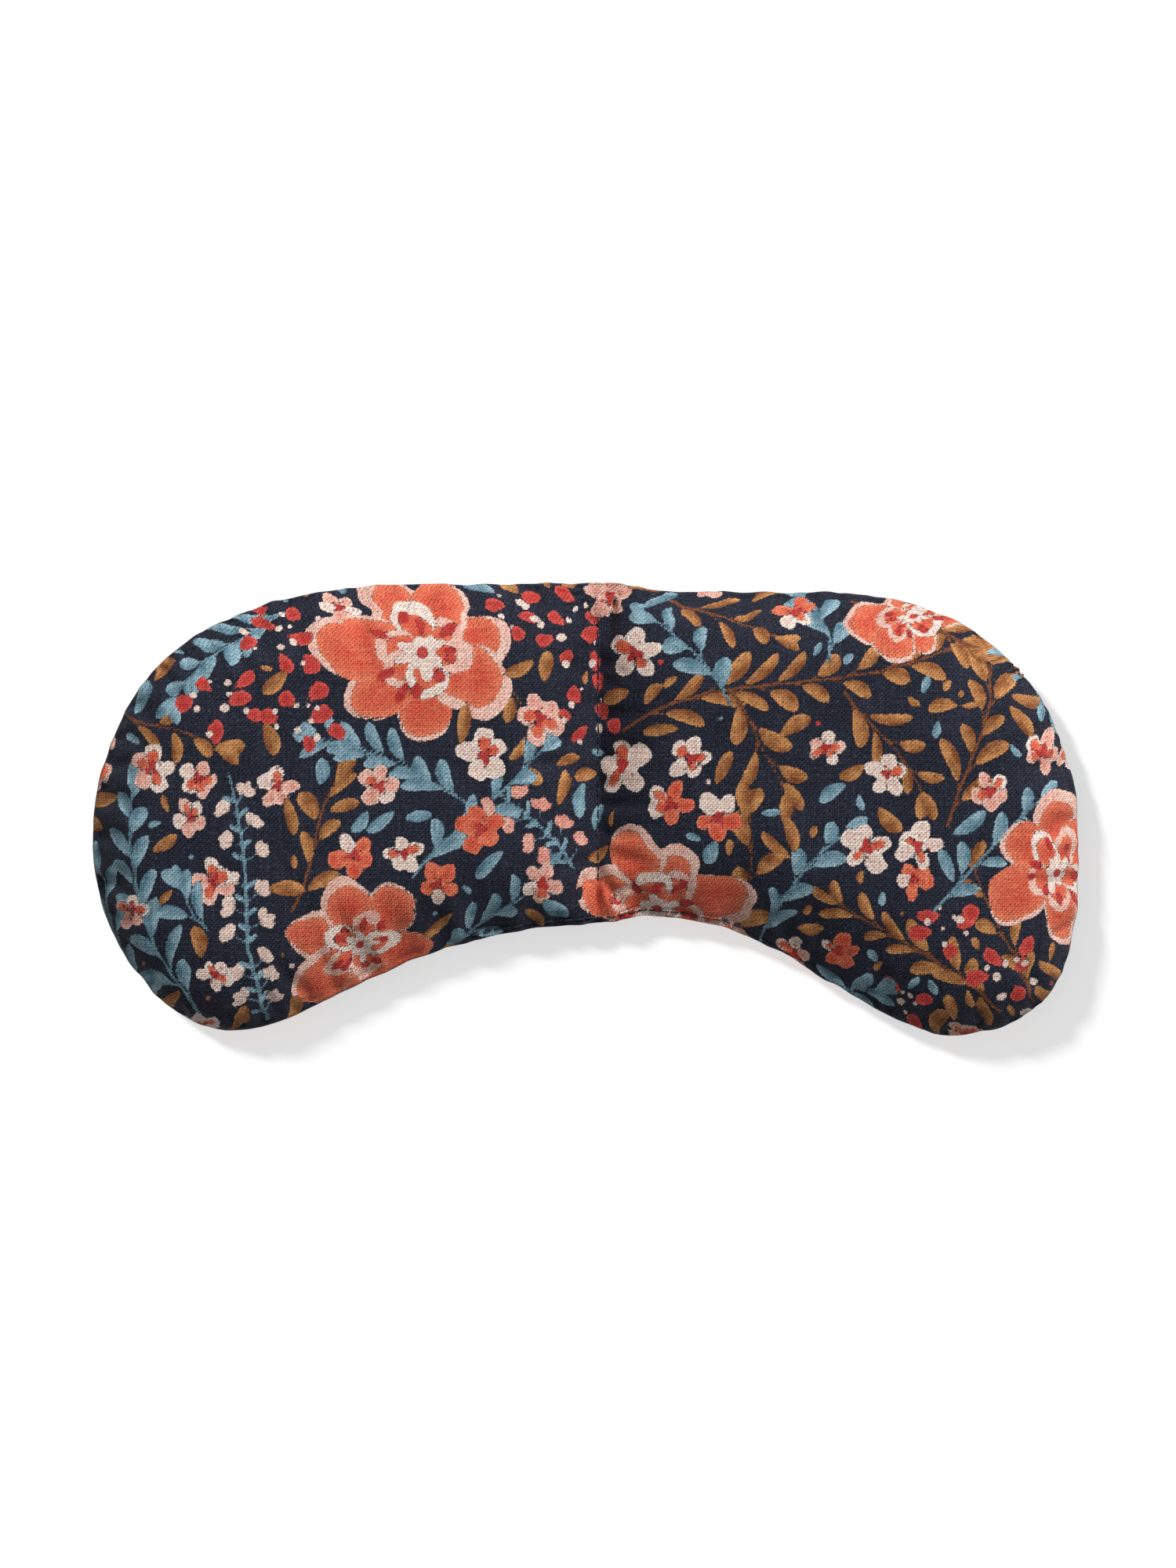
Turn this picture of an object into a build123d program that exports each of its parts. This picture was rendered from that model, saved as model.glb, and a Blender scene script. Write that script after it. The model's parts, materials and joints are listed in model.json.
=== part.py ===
from build123d import *
import math
import os

# An eye mask that lies on its back: two grain-filled pads of printed cloth, quilted together down the middle.
# X runs across the face, Y up to the brow, Z out of the front. The mask is drawn from its fold line (x = 0)
# and its eye line (y = 0). The last step moves it so that the origin is at the middle of its base.

# ---- driving dimensions, in millimetres ----
brow = 52.6  # top edge at the fold, above the eye line
nose = 27.2  # top of the nose arch, below the eye line
thickness = 16.0  # over the crown of a pad, as it lies
seam_height = 5.0  # the edge seam, above the surface that the mask lies on
fullness = 4  # a pad rises by 1 - scale ** fullness, so a higher number is a flatter crown
back_roundness = 1.6  # the same for the short rise from the flat of the back to the seam
back_flat = 0.82  # the flat of the back, as a scale of the pad
back_sections = (back_flat, 0.9, 0.95, 1)  # the scales that a pad is lofted through, upwards
front_sections = (1, 0.95, 0.88, 0.78, 0.64, 0.45, 0.2)
edge_sides = 60  # short straight sides that one half's edge is made of
shortest_side = 2.5  # beside the fold, where a shorter one is left out

# Each half is measured outwards from the fold. A size that ends in _in is measured in from its reach, one
# that ends in _down is measured down from the brow, and one that ends in _below is below the eye line.
LEFT = {
    "reach": 117.1,
    "reach_below": -1.4,
    "temple_in": 14.6,
    "temple_down": 19.6,
    "shoulder_in": 36.5,
    "shoulder_down": 6.3,
    "brow_in": 77.0,
    "brow_down": 0.6,
    "corner_in": 9.6,
    "corner_below": 38.5,
    "lobe_in": 29.2,
    "lobe_below": 52.0,
    "cheek_out": 55.0,
    "cheek_below": 40.8,
    "bridge_out": 28.0,
    "bridge_below": 31.0,
    "gap_end": 29.5,
}
RIGHT = {
    "reach": 111.9,
    "reach_below": 18.0,
    "temple_in": 9.6,
    "temple_down": 25.9,
    "shoulder_in": 30.0,
    "shoulder_down": 8.4,
    "brow_in": 72.0,
    "brow_down": 2.4,
    "corner_in": 9.6,
    "corner_below": 46.6,
    "lobe_in": 30.5,
    "lobe_below": 53.0,
    "cheek_out": 51.0,
    "cheek_below": 38.6,
    "bridge_out": 24.0,
    "bridge_below": 26.6,
    "gap_end": 33.4,
}

# Cloth and seams.
cloth = 0.4
edge = 2 * cloth  # the cloth and its turned-in allowance, pressed together
allowance = 6.0  # how far the allowance reaches in from the edge
margin = 2.4  # the pressed edge, before the pad starts to rise
fill_clearance = 0.3

# Threads. A stitch is a bar of thread that lies on the cloth.
thread = 0.3
edge_seam_in = 0.8  # the hidden seam, in from the turned edge
stitch = 2.0
stitch_gap = 0.5
pitch = stitch + stitch_gap
topstitch_in = 1.2  # the closing topstitch, in from the edge of the nose arch
backstitch_step = 0.6  # between the topstitch and the row sewn back beside it
backstitches = 2
centre_line_drop = 9.6  # the quilted line starts this far below the brow edge
centre_line_rise = 11.2  # and ends this far above the nose arch

# The fold. The strip that carries the quilted line belongs to the left half, and its middle is the fold's axis.
strip_half_width = 0.8
fold_gap = 0.5  # between the strip and the right half


def edge_line(half, fold_edge):
    """One half's turned edge, from the fold along the nose arch, round the outside and back along the brow."""
    reach = half["reach"]
    return Spline(
        (fold_edge, -nose),
        (half["bridge_out"], -half["bridge_below"]),
        (half["cheek_out"], -half["cheek_below"]),
        (reach - half["lobe_in"], -half["lobe_below"]),
        (reach - half["corner_in"], -half["corner_below"]),
        (reach, -half["reach_below"]),
        (reach - half["temple_in"], brow - half["temple_down"]),
        (reach - half["shoulder_in"], brow - half["shoulder_down"]),
        (reach - half["brow_in"], brow - half["brow_down"]),
        (fold_edge, brow),
    )


def inside(line, share, distance):
    """The point inside the edge at a share of its length, and the edge's direction there."""
    direction = line.tangent_at(share)
    return line.position_at(share) + Vector(-direction.Y, direction.X) * distance, direction


def inset(line, distance, from_fold):
    """The closed face inside one half's edge: moved in by distance, and by from_fold along the fold.

    Its sides are short and straight, so that the facets of a pad are flat and every skin has the same ones.
    """
    fold_side = line.position_at(0).X + from_fold
    points = [inside(line, i / edge_sides, distance)[0] for i in range(edge_sides + 1)]
    kept = [point for point in points[1:-1] if point.X > fold_side + shortest_side]
    return make_face(Polyline((fold_side, points[0].Y), *kept, (fold_side, points[-1].Y), close=True))


def slab(face, low, high):
    return Pos(0, 0, low) * extrude(face, amount=high - low)


def pad_form(line, centre, skin):
    """A pad's whole form, moved in by skin from its outer surface: flat below, round above.

    It is lofted through scaled copies of one face, each at its height.
    """
    face = inset(line, margin + skin, margin + skin)
    back_rim = seam_height - edge + skin
    front_rim = seam_height + edge - skin
    back_rise = back_rim - skin
    front_rise = thickness - skin - front_rim
    sections = []
    for share in back_sections:
        climb = (share - back_flat) / (1 - back_flat)
        sections.append((share, skin + back_rise * climb**back_roundness))
    for share in front_sections:
        sections.append((share, front_rim + front_rise * (1 - share**fullness)))
    layers = [Pos(0, 0, height) * scale(face, by=share, about=centre) for share, height in sections]
    return loft(layers, ruled=True)


def lying_stitch(location, level, side):
    """A stitch along the location's x axis that rests on the cloth at level: side 1 is on top, -1 below."""
    return Pos(0, 0, level + side * thread / 2) * location * Box(stitch, thread, thread)


def stitch_place(line, along, distance_in):
    """The place and direction of a stitch inside the edge, this far along the edge from the fold."""
    place, direction = inside(line, along / line.length, distance_in)
    return Pos(place.X, place.Y) * Rot(0, 0, math.degrees(math.atan2(direction.Y, direction.X)))


def topstitch(line, half, side):
    """The closing topstitch of one half, from the fold to the end of the turning gap, sewn back at its end."""
    level = seam_height + side * edge
    count = int((half["gap_end"] - strip_half_width - fold_gap) / pitch)
    bars = []
    for i in range(count):
        place = stitch_place(line, (i + 0.5) * pitch, topstitch_in)
        bars.append(lying_stitch(place, level, side))
    for i in range(count - backstitches, count):
        place = stitch_place(line, (i + 0.5) * pitch, topstitch_in + backstitch_step)
        bars.append(lying_stitch(place, level, side))
    return Part() + bars


def centre_stitches(side):
    """The quilted line on the fold's axis, on the front (side 1) or the back (side -1) of the strip."""
    start = -nose + centre_line_rise
    count = int((brow - centre_line_drop - start) / pitch)
    level = seam_height + side * cloth
    bars = [
        lying_stitch(Pos(0, start + (i + 0.5) * pitch) * Rot(0, 0, 90), level, side) for i in range(count)
    ]
    return Part() + bars


def edge_seam(line, half):
    """The hidden seam thread between the panels, open at the fold and along the turning gap."""
    ring = inset(line, edge_seam_in, 0) - inset(line, edge_seam_in + thread, 0)
    along_gap = Pos(0, -brow, seam_height) * Box(2 * half["gap_end"], 2 * brow, thickness)
    return slab(ring, seam_height - thread / 2, seam_height + thread / 2) - along_gap


def build_half(half, fold_edge):
    """The panels, the fill and the threads of one half, drawn with its outer edge towards +X."""
    line = edge_line(half, fold_edge)
    face = inset(line, 0, 0)
    centre = (half["reach"] / 2, (brow - half["lobe_below"]) / 2, 0)
    turned_in = slab(face - inset(line, allowance, 0), seam_height - cloth, seam_height + cloth)
    hollow = pad_form(line, centre, cloth) - turned_in
    seam = edge_seam(line, half)
    pressed_edge = slab(face, seam_height - edge, seam_height + edge)
    shell = pad_form(line, centre, 0) + pressed_edge - hollow - seam
    seam_plane = Plane.XY.offset(seam_height)
    reach_in = allowance + fill_clearance
    spaced = cloth + fill_clearance
    kept_clear = slab(face - inset(line, reach_in, 0), seam_height - spaced, seam_height + spaced)
    return {
        "front_panel": split(shell, bisect_by=seam_plane, keep=Keep.TOP),
        "back_panel": split(shell, bisect_by=seam_plane, keep=Keep.BOTTOM),
        "grain_fill": pad_form(line, centre, spaced) - kept_clear,
        "edge_seam_thread": seam,
        "nose_topstitch_needle": topstitch(line, half, 1),
        "nose_topstitch_bobbin": topstitch(line, half, -1),
    }


def build_mask():
    """Every node by name, drawn from the fold line and the eye line."""
    nodes = {}
    strip = Box(2 * strip_half_width, brow + nose, cloth, align=(Align.CENTER, Align.MIN, Align.MIN))
    strip = Pos(0, -nose, seam_height) * strip
    left = build_half(LEFT, strip_half_width)
    left["front_panel"] += strip
    left["back_panel"] += Pos(0, 0, -cloth) * strip
    for name, solid in left.items():
        nodes[name + "_left"] = mirror(solid, about=Plane.YZ)
    for name, solid in build_half(RIGHT, strip_half_width + fold_gap).items():
        nodes[name + "_right"] = solid
    nodes["centre_stitch_needle"] = centre_stitches(1)
    nodes["centre_stitch_bobbin"] = centre_stitches(-1)
    return nodes


def main():
    os.makedirs("parts", exist_ok=True)
    nodes = build_mask()
    left_box = nodes["front_panel_left"].bounding_box()
    right_box = nodes["front_panel_right"].bounding_box()
    middle_x = (left_box.min.X + right_box.max.X) / 2
    middle_y = (min(left_box.min.Y, right_box.min.Y) + max(left_box.max.Y, right_box.max.Y)) / 2
    print("fold line at x =", round(-middle_x, 3), "and eye line at y =", round(-middle_y, 3))
    print("width", round(right_box.max.X - left_box.min.X, 2), "thickness", round(left_box.max.Z, 2))
    for name, solid in nodes.items():
        export_step(Pos(-middle_x, -middle_y, 0) * solid, f"parts/{name}.step")


main()
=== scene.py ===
# %% [markdown]
# # A weighted eye mask
#
# The mask is two pads of printed linen canvas, filled with flax seed and quilted together down the middle.
# It lies on its back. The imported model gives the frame: its outline, its fold line and its seam plane.
# Everything here is worked out in millimetres and goes into the meshes in metres.

import json
import math

import bmesh
import bpy
import numpy as np
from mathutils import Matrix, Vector
from mathutils.bvhtree import BVHTree
from mathutils.kdtree import KDTree

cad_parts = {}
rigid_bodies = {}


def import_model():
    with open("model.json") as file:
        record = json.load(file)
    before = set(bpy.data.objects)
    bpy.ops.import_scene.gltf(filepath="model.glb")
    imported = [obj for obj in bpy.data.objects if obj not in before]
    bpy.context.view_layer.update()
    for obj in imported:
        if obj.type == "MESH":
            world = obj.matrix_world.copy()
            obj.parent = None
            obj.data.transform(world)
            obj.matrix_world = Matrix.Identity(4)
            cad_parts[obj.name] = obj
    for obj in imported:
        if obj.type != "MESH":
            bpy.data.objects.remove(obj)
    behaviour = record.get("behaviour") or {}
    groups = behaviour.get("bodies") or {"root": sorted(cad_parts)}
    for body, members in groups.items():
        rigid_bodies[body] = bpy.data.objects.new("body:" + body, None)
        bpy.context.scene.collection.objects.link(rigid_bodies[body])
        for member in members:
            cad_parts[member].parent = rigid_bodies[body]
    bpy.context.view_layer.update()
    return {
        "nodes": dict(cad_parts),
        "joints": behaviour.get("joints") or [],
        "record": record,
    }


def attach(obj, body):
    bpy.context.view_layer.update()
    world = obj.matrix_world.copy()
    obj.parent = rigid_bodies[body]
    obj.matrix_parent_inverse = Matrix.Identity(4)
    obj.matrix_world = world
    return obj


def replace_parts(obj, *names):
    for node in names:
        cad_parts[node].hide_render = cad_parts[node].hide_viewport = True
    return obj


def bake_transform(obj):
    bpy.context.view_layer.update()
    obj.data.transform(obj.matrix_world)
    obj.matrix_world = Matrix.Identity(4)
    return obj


for leftover in list(bpy.data.objects):
    bpy.data.objects.remove(leftover)
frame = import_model()
hinge = frame["joints"][0]
record = frame["record"]
pivot = [j for j in record["behaviour"]["joints"] if j["name"] == hinge["name"]][0]["pos_m"]
MM = 1000.0  # millimetres in a metre
fold_x = pivot[0] * MM
seam_z = pivot[2] * MM
print("fold line at", round(fold_x, 2), "seam plane at", round(seam_z, 2))

# %% [markdown]
# ## The outline
#
# The cloth pieces must keep the outline that the solid model has. Rays sent inwards at the height of the seam
# find it all the way round, and a smooth closed curve goes through what they hit. A traced list of points
# would do the same, but would no longer follow the model when its sizes change.

# %% Find the outline
heart = np.array([fold_x, 10.0])  # every ray aims at this point, above the nose arch
edge_level = seam_z + 0.4  # in the pressed edge of the front panel
ray_count = 128
gap_angle = 4.0  # no ray goes down the gap at the fold
far_out = 300.0  # outside the mask, whichever way


def model_tree(names):
    """One search tree over the faces of several nodes, in millimetres."""
    points = []
    faces = []
    for name in names:
        mesh = frame["nodes"][name].data
        start = len(points)
        points += [Vector(v.co) * MM for v in mesh.vertices]
        faces += [[start + i for i in polygon.vertices] for polygon in mesh.polygons]
    return BVHTree.FromPolygons(points, faces)


def outline_hits():
    tree = model_tree(["front_panel_left", "front_panel_right"])
    hits = []
    for k in range(ray_count):
        degrees = 360.0 * k / ray_count
        if min(abs((degrees - straight + 180) % 360 - 180) for straight in (90, 270)) < gap_angle:
            continue
        way = Vector((math.cos(math.radians(degrees)), math.sin(math.radians(degrees)), 0))
        start = Vector((heart[0], heart[1], edge_level)) + way * far_out
        found = tree.ray_cast(start, -way, far_out)[0]
        if found is not None:
            hits.append((found.x, found.y))
    return np.array(hits)


def smooth_loop(points, steps):
    """A closed curve through the points, with this many steps between each pair."""
    before, after, last = np.roll(points, 1, 0), np.roll(points, -1, 0), np.roll(points, -2, 0)
    t = np.linspace(0, 1, steps, endpoint=False)[None, :, None]
    p0, p1, p2, p3 = (p[:, None, :] for p in (before, points, after, last))
    bend, twist = 2 * p0 - 5 * p1 + 4 * p2 - p3, 3 * p1 - p0 - 3 * p2 + p3
    curve = 0.5 * (2 * p1 + (p2 - p0) * t + bend * t**2 + twist * t**3)
    return curve.reshape(-1, 2)


def even_loop(points, count):
    """The same closed curve with its points at even steps."""
    closed = np.vstack([points, points[:1]])
    run = np.concatenate([[0], np.cumsum(np.hypot(*np.diff(closed, axis=0).T))])
    at = np.linspace(0, run[-1], count, endpoint=False)
    return np.stack([np.interp(at, run, closed[:, 0]), np.interp(at, run, closed[:, 1])], 1), run[-1]


def lumps(x, y, size, seed):
    """Smooth random values from -1 to 1 that change over about this many millimetres."""
    lattice = np.random.default_rng(seed).uniform(-1, 1, (256, 256))
    gx, gy = np.asarray(x) / size + 512.0, np.asarray(y) / size + 512.0
    ix, iy = np.floor(gx).astype(int), np.floor(gy).astype(int)
    fx, fy = gx - ix, gy - iy
    fx, fy = fx * fx * (3 - 2 * fx), fy * fy * (3 - 2 * fy)
    ix, iy = ix % 256, iy % 256
    jx, jy = (ix + 1) % 256, (iy + 1) % 256
    low = lattice[ix, iy] * (1 - fx) + lattice[jx, iy] * fx
    high = lattice[ix, jy] * (1 - fx) + lattice[jx, jy] * fx
    return low * (1 - fy) + high * fy


outline_count = 2400
outline, outline_length = even_loop(smooth_loop(outline_hits(), 24), outline_count)
outline_run = np.arange(outline_count) * outline_length / outline_count
outline_dir = np.roll(outline, -1, 0) - np.roll(outline, 1, 0)
outline_dir /= np.hypot(*outline_dir.T)[:, None]
outward = np.stack([outline_dir[:, 1], -outline_dir[:, 0]], 1)
# Small waves, where the seam draws the edge in between its stitches.
scallop = 0.28 * lumps(outline_run, 0, 5.0, 11) + 0.12 * lumps(outline_run, 0, 2.2, 12)
scallop_middle = 0.1
outline = outline + outward * (scallop - scallop_middle)[:, None]
print("outline", round(outline_length, 1), "mm round")
print("from", outline.min(0).round(1), "to", outline.max(0).round(1))

# %% [markdown]
# ## The cloth grid
#
# A pad is a soft closed form. It could be remeshed from the solid, but a grid that follows the outline lets
# the seam stay crisp, lets the cloth be laid out flat for its print, and gives the simulation even squares.
# The four sides of the grid run along the outline, and its middle column lies on the fold.

# %% Lay the grid
coarse_across, coarse_up = 110, 52
finer = 4  # steps of the fine grid in one of the coarse grid
fine_across, fine_up = coarse_across * finer, coarse_up * finer
# The corners of the grid, as directions from the heart in degrees.
corner_angles = {"low_left": -153.0, "low_right": -28.0, "high_right": 12.6, "high_left": 166.0}


def outline_at_angle(degrees):
    """The step of the outline that lies in this direction from the heart of the mask."""
    angles = np.degrees(np.arctan2(outline[:, 1] - heart[1], outline[:, 0] - heart[0]))
    return int(np.argmin(np.abs((angles - degrees + 180) % 360 - 180)))


def along_outline(start, stop, shares):
    """Points from one step of the outline, the way its steps run, to another."""
    length = (stop - start) % outline_count
    at = start + np.asarray(shares) * length
    low = np.floor(at).astype(int)
    part = (at - low)[:, None]
    return outline[low % outline_count] * (1 - part) + outline[(low + 1) % outline_count] * part


def eased(count, ease):
    """Shares from 0 to 1 whose steps are smaller at both ends."""
    t = np.linspace(0, 1, count + 1)
    return t - ease * np.sin(2 * np.pi * t) / (2 * np.pi)


corner = {name: outline_at_angle(angle) for name, angle in corner_angles.items()}
fold_low = outline_at_angle(-90.0)
fold_high = outline_at_angle(90.0)
u_shares = eased(fine_across, 0.5)
v_shares = eased(fine_up, 0.62)
left_u = u_shares[: fine_across // 2 + 1] / u_shares[fine_across // 2]
right_u = (u_shares[fine_across // 2 :] - u_shares[fine_across // 2]) / (1 - u_shares[fine_across // 2])
low_side = np.vstack(
    [
        along_outline(corner["low_left"], fold_low, left_u),
        along_outline(fold_low, corner["low_right"], right_u)[1:],
    ]
)
high_side = np.vstack(
    [
        along_outline(fold_high, corner["high_left"], 1 - left_u),
        along_outline(corner["high_right"], fold_high, 1 - right_u)[1:],
    ]
)
left_side = along_outline(corner["high_left"], corner["low_left"], 1 - v_shares)
right_side = along_outline(corner["low_right"], corner["high_right"], v_shares)
u = u_shares[None, :, None]
v = v_shares[:, None, None]
grid = (1 - v) * low_side[None] + v * high_side[None] + (1 - u) * left_side[:, None] + u * right_side[:, None]
grid -= (
    (1 - u) * (1 - v) * low_side[0]
    + u * (1 - v) * low_side[-1]
    + (1 - u) * v * high_side[0]
    + u * v * high_side[-1]
)
drawn_from = 12.0  # the columns within about this far of the fold are drawn to it
nearness = np.exp(-(((grid[:, :, 0] - fold_x) / drawn_from) ** 2))
shift = (fold_x - grid[:, fine_across // 2, 0])[:, None] * nearness
shift[0] = shift[-1] = shift[:, 0] = shift[:, -1] = 0
grid[:, :, 0] += shift
smoothings = 6
for _ in range(smoothings):
    middle = (grid[1:-1, 2:] + grid[1:-1, :-2] + grid[2:, 1:-1] + grid[:-2, 1:-1]) / 4
    grid[1:-1, 1:-1] += 0.5 * (middle - grid[1:-1, 1:-1])
    grid[1:-1, fine_across // 2, 0] = fold_x
du = grid[1:, 1:] - grid[1:, :-1]
dv = grid[1:, 1:] - grid[:-1, 1:]
turn = du[:, :, 0] * dv[:, :, 1] - du[:, :, 1] * dv[:, :, 0]
longest = np.hypot(du[..., 0], du[..., 1]).max()
print("grid", grid.shape, "smallest cell", round(float(turn.min()), 4), "mm2")
print("longest step", round(float(longest), 2), "mm")

# %% [markdown]
# ## How far in, and how far from the quilted line
#
# A pad is thin at its seam and along the quilted line, and round in between. Two distances rule its height
# at every point of the grid: how far the point lies in from the outline, and how far from the row of
# stitches that holds the front and the back together in the middle.

# %% Measure the distances
stitch_low, stitch_high = -16.0, 43.2  # the ends of the quilted line, up from the eye line


def outline_distance(points):
    """How far each point lies in from the outline, and where along it the nearest place is."""
    tree = KDTree(outline_count)
    for i, place in enumerate(outline):
        tree.insert((place[0], place[1], 0), i)
    tree.balance()
    nearest = np.array([tree.find((p[0], p[1], 0))[1] for p in points])
    best = np.full(len(points), 1e9)
    run = np.zeros(len(points))
    for step in (-1, 0):
        a = outline[(nearest + step) % outline_count]
        b = outline[(nearest + step + 1) % outline_count]
        along = np.clip(((points - a) * (b - a)).sum(1) / ((b - a) ** 2).sum(1), 0, 1)
        gap = np.hypot(*(points - a - (b - a) * along[:, None]).T)
        closer = gap < best
        best = np.where(closer, gap, best)
        here = outline_run[(nearest + step) % outline_count] + along * outline_length / outline_count
        run = np.where(closer, here, run)
    return best, run


def rise(t):
    """A smooth step from 0 to 1 while t goes from 0 to 1."""
    t = np.clip(t, 0, 1)
    return t * t * (3 - 2 * t)


flat = grid.reshape(-1, 2)
edge_in, edge_run = outline_distance(flat)
edge_in = edge_in.reshape(grid.shape[:2])
edge_run = edge_run.reshape(grid.shape[:2])
edge_in[0] = edge_in[-1] = edge_in[:, 0] = edge_in[:, -1] = 0
gx, gy = grid[:, :, 0], grid[:, :, 1]
from_line = np.hypot(gx - fold_x, gy - np.clip(gy, stitch_low, stitch_high))
print("deepest point", round(float(edge_in.max()), 1), "mm in")

# %% [markdown]
# ## The pads before they are filled
#
# The front rises steeply from the seam and rounds over into a broad crown. The back is pressed flat by its
# own weight. Along the nose arch a topstitch closes the gap that the seed was poured through, so there the
# edge is pressed flat for two millimetres before the cloth rises.

# %% Shape the empty pads
stitched_half = 0.45  # half the thickness where the front and back are sewn together
ring_half = 0.05  # the same at the seam itself
crown = 8.7
dome_reach = 38.0  # from the outline to the level part of the crown
valley_reach = 13.0  # from the quilted line to about three quarters of the height
lip_reach = 0.45
back_reach, back_valley_reach = 9.0, 5.0  # the same two for the back
hem_fullness = 0.35  # how far the turned-in layers fill out each side of the pressed edge
gap_left, gap_right = fold_x - 29.5, fold_x + 33.4  # the ends of the turning gap, across
hem_width = 2.3

in_gap = rise((gx - gap_left + 3) / 5) * rise((gap_right + 3 - gx) / 5) * rise((-5 - gy) / 6)
rolled_in = np.maximum(edge_in - hem_width * in_gap, 0)
round_edge = (1 - (1 - np.clip(rolled_in / dome_reach, 0, 1)) ** 3) ** 0.62
valley = np.tanh(from_line / valley_reach)
lip = 1 - np.exp(-edge_in / lip_reach)
sewn_lip = (stitched_half - ring_half) * lip
front_z = seam_z + ring_half + sewn_lip + hem_fullness * in_gap * lip + crown * round_edge * valley
back_rise = rise(np.clip(rolled_in / back_reach, 0, 1) ** 0.7)
back_dip = (seam_z - stitched_half) * back_rise * np.tanh(from_line / back_valley_reach)
back_hem = hem_fullness * in_gap * lip * (1 - rise(rolled_in / 5))
back_z = seam_z - ring_half - sewn_lip - back_hem - back_dip
front = np.dstack([gx, gy, front_z])
back = np.dstack([gx, gy, back_z])
print("crown of the empty pad", round(float(front_z.max()), 1), "mm")

# %% [markdown]
# ## Filling the pads
#
# Seed pushes the cloth out until its threads hold, and the cloth puckers where it is held. The cloth
# simulation does this on a coarse copy of the grid: the front and the back share the seam, the seam and the
# quilted line are pinned, and the cloth is a little larger than its pattern. What moved is capped, then
# carried over to the fine grid.

# %% Fill them with the cloth simulation
pressure = 4.0
cloth_excess = -0.025  # a negative shrinkage, so the cloth grows
move_cap = 2.3
sim_frames = 20
sim_scale = 10.0  # the simulation works on a mask ten times as large


def grid_faces(n):
    """The squares of a grid whose points have the numbers n."""
    return np.stack([n[:-1, :-1], n[:-1, 1:], n[1:, 1:], n[1:, :-1]], -1).reshape(-1, 4)


def two_skins(upper, lower):
    """The squares of an upper grid and, turned over, those of a lower one."""
    return grid_faces(upper).tolist() + grid_faces(lower)[:, ::-1].tolist()


def add_object(name, data):
    made = bpy.data.objects.new(name, data)
    bpy.context.scene.collection.objects.link(made)
    return made


def puff(front_coarse, back_coarse):
    """How far each point of the two coarse grids moves when the pads are filled."""
    rows, columns = front_coarse.shape[:2]
    top_numbers = np.arange(rows * columns).reshape(rows, columns)
    inner = np.zeros((rows, columns), bool)
    inner[1:-1, 1:-1] = True
    base_numbers = top_numbers.copy()
    base_numbers[inner] = rows * columns + np.arange(inner.sum())
    points = np.vstack([front_coarse.reshape(-1, 3), back_coarse[inner]]) * sim_scale / MM
    mesh = bpy.data.meshes.new("pad_simulation")
    mesh.from_pydata(points.tolist(), [], two_skins(top_numbers, base_numbers))
    pad = add_object("pad_simulation", mesh)
    sewn = (from_line[::finer, ::finer] < 0.4) | ~inner
    held = pad.vertex_groups.new(name="held")
    held.add(top_numbers[sewn].tolist() + base_numbers[sewn].tolist(), 1.0, "REPLACE")
    settings = pad.modifiers.new("filling", "CLOTH").settings
    settings.vertex_group_mass = "held"
    settings.use_pressure = True
    settings.uniform_pressure_force = pressure
    settings.shrink_min = cloth_excess
    settings.quality = 6
    settings.tension_stiffness = settings.compression_stiffness = 15
    settings.shear_stiffness = 5
    settings.bending_stiffness = 0.4
    settings.effector_weights.gravity = 0
    pad.modifiers["filling"].collision_settings.use_collision = False
    scene = bpy.context.scene
    for step in range(1, sim_frames + 1):
        scene.frame_set(step)
    swollen = pad.evaluated_get(bpy.context.evaluated_depsgraph_get())
    after = np.empty(len(points) * 3)
    swollen.data.vertices.foreach_get("co", after)
    moved = (after.reshape(-1, 3) - points) * MM / sim_scale
    scene.frame_set(1)
    bpy.data.objects.remove(pad)
    size = np.linalg.norm(moved, axis=1, keepdims=True)
    moved *= np.tanh(size / move_cap) * move_cap / np.maximum(size, 1e-6)
    return moved[top_numbers], moved[base_numbers]


def spread(count):
    """Weights that carry values on the coarse steps smoothly to the fine ones."""
    weights = np.zeros((count * finer + 1, count + 1))
    for i in range(count * finer + 1):
        k = min(i // finer, count - 1)
        t = i / finer - k
        before, here = -t + 2 * t**2 - t**3, 2 - 5 * t**2 + 3 * t**3
        after, last = t + 4 * t**2 - 3 * t**3, -(t**2) + t**3
        cubic = 0.5 * np.array([before, here, after, last])
        for offset, weight in zip((-1, 0, 1, 2), cubic):
            weights[i, min(max(k + offset, 0), count)] += weight
    return weights


front_moved, back_moved = puff(front[::finer, ::finer], back[::finer, ::finer])
up_weights, across_weights = spread(coarse_up), spread(coarse_across)
front += np.einsum("ai,ijc,bj->abc", up_weights, front_moved, across_weights)
back += np.einsum("ai,ijc,bj->abc", up_weights, back_moved, across_weights)
furthest = [round(float(np.abs(moved).max()), 2) for moved in (front_moved, back_moved)]
print("front and back moved up to", furthest, "mm")
print("crown of the filled pad", round(float(front[:, :, 2].max()), 1), "mm")

# %% [markdown]
# ## Folds given one by one
#
# What a simulation on a coarse grid leaves out is modelled as a sculptor would push it. The seam puckers
# finely between its stitches. At the top of the quilted line the spare cloth is gathered in a pleat, at its
# lower end a few creases run out from the last stitch, and the seed lies in low lumps.

# %% Pucker, pleat and crease the cloth
lump_height = 0.35
pucker_height = 0.42


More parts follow.
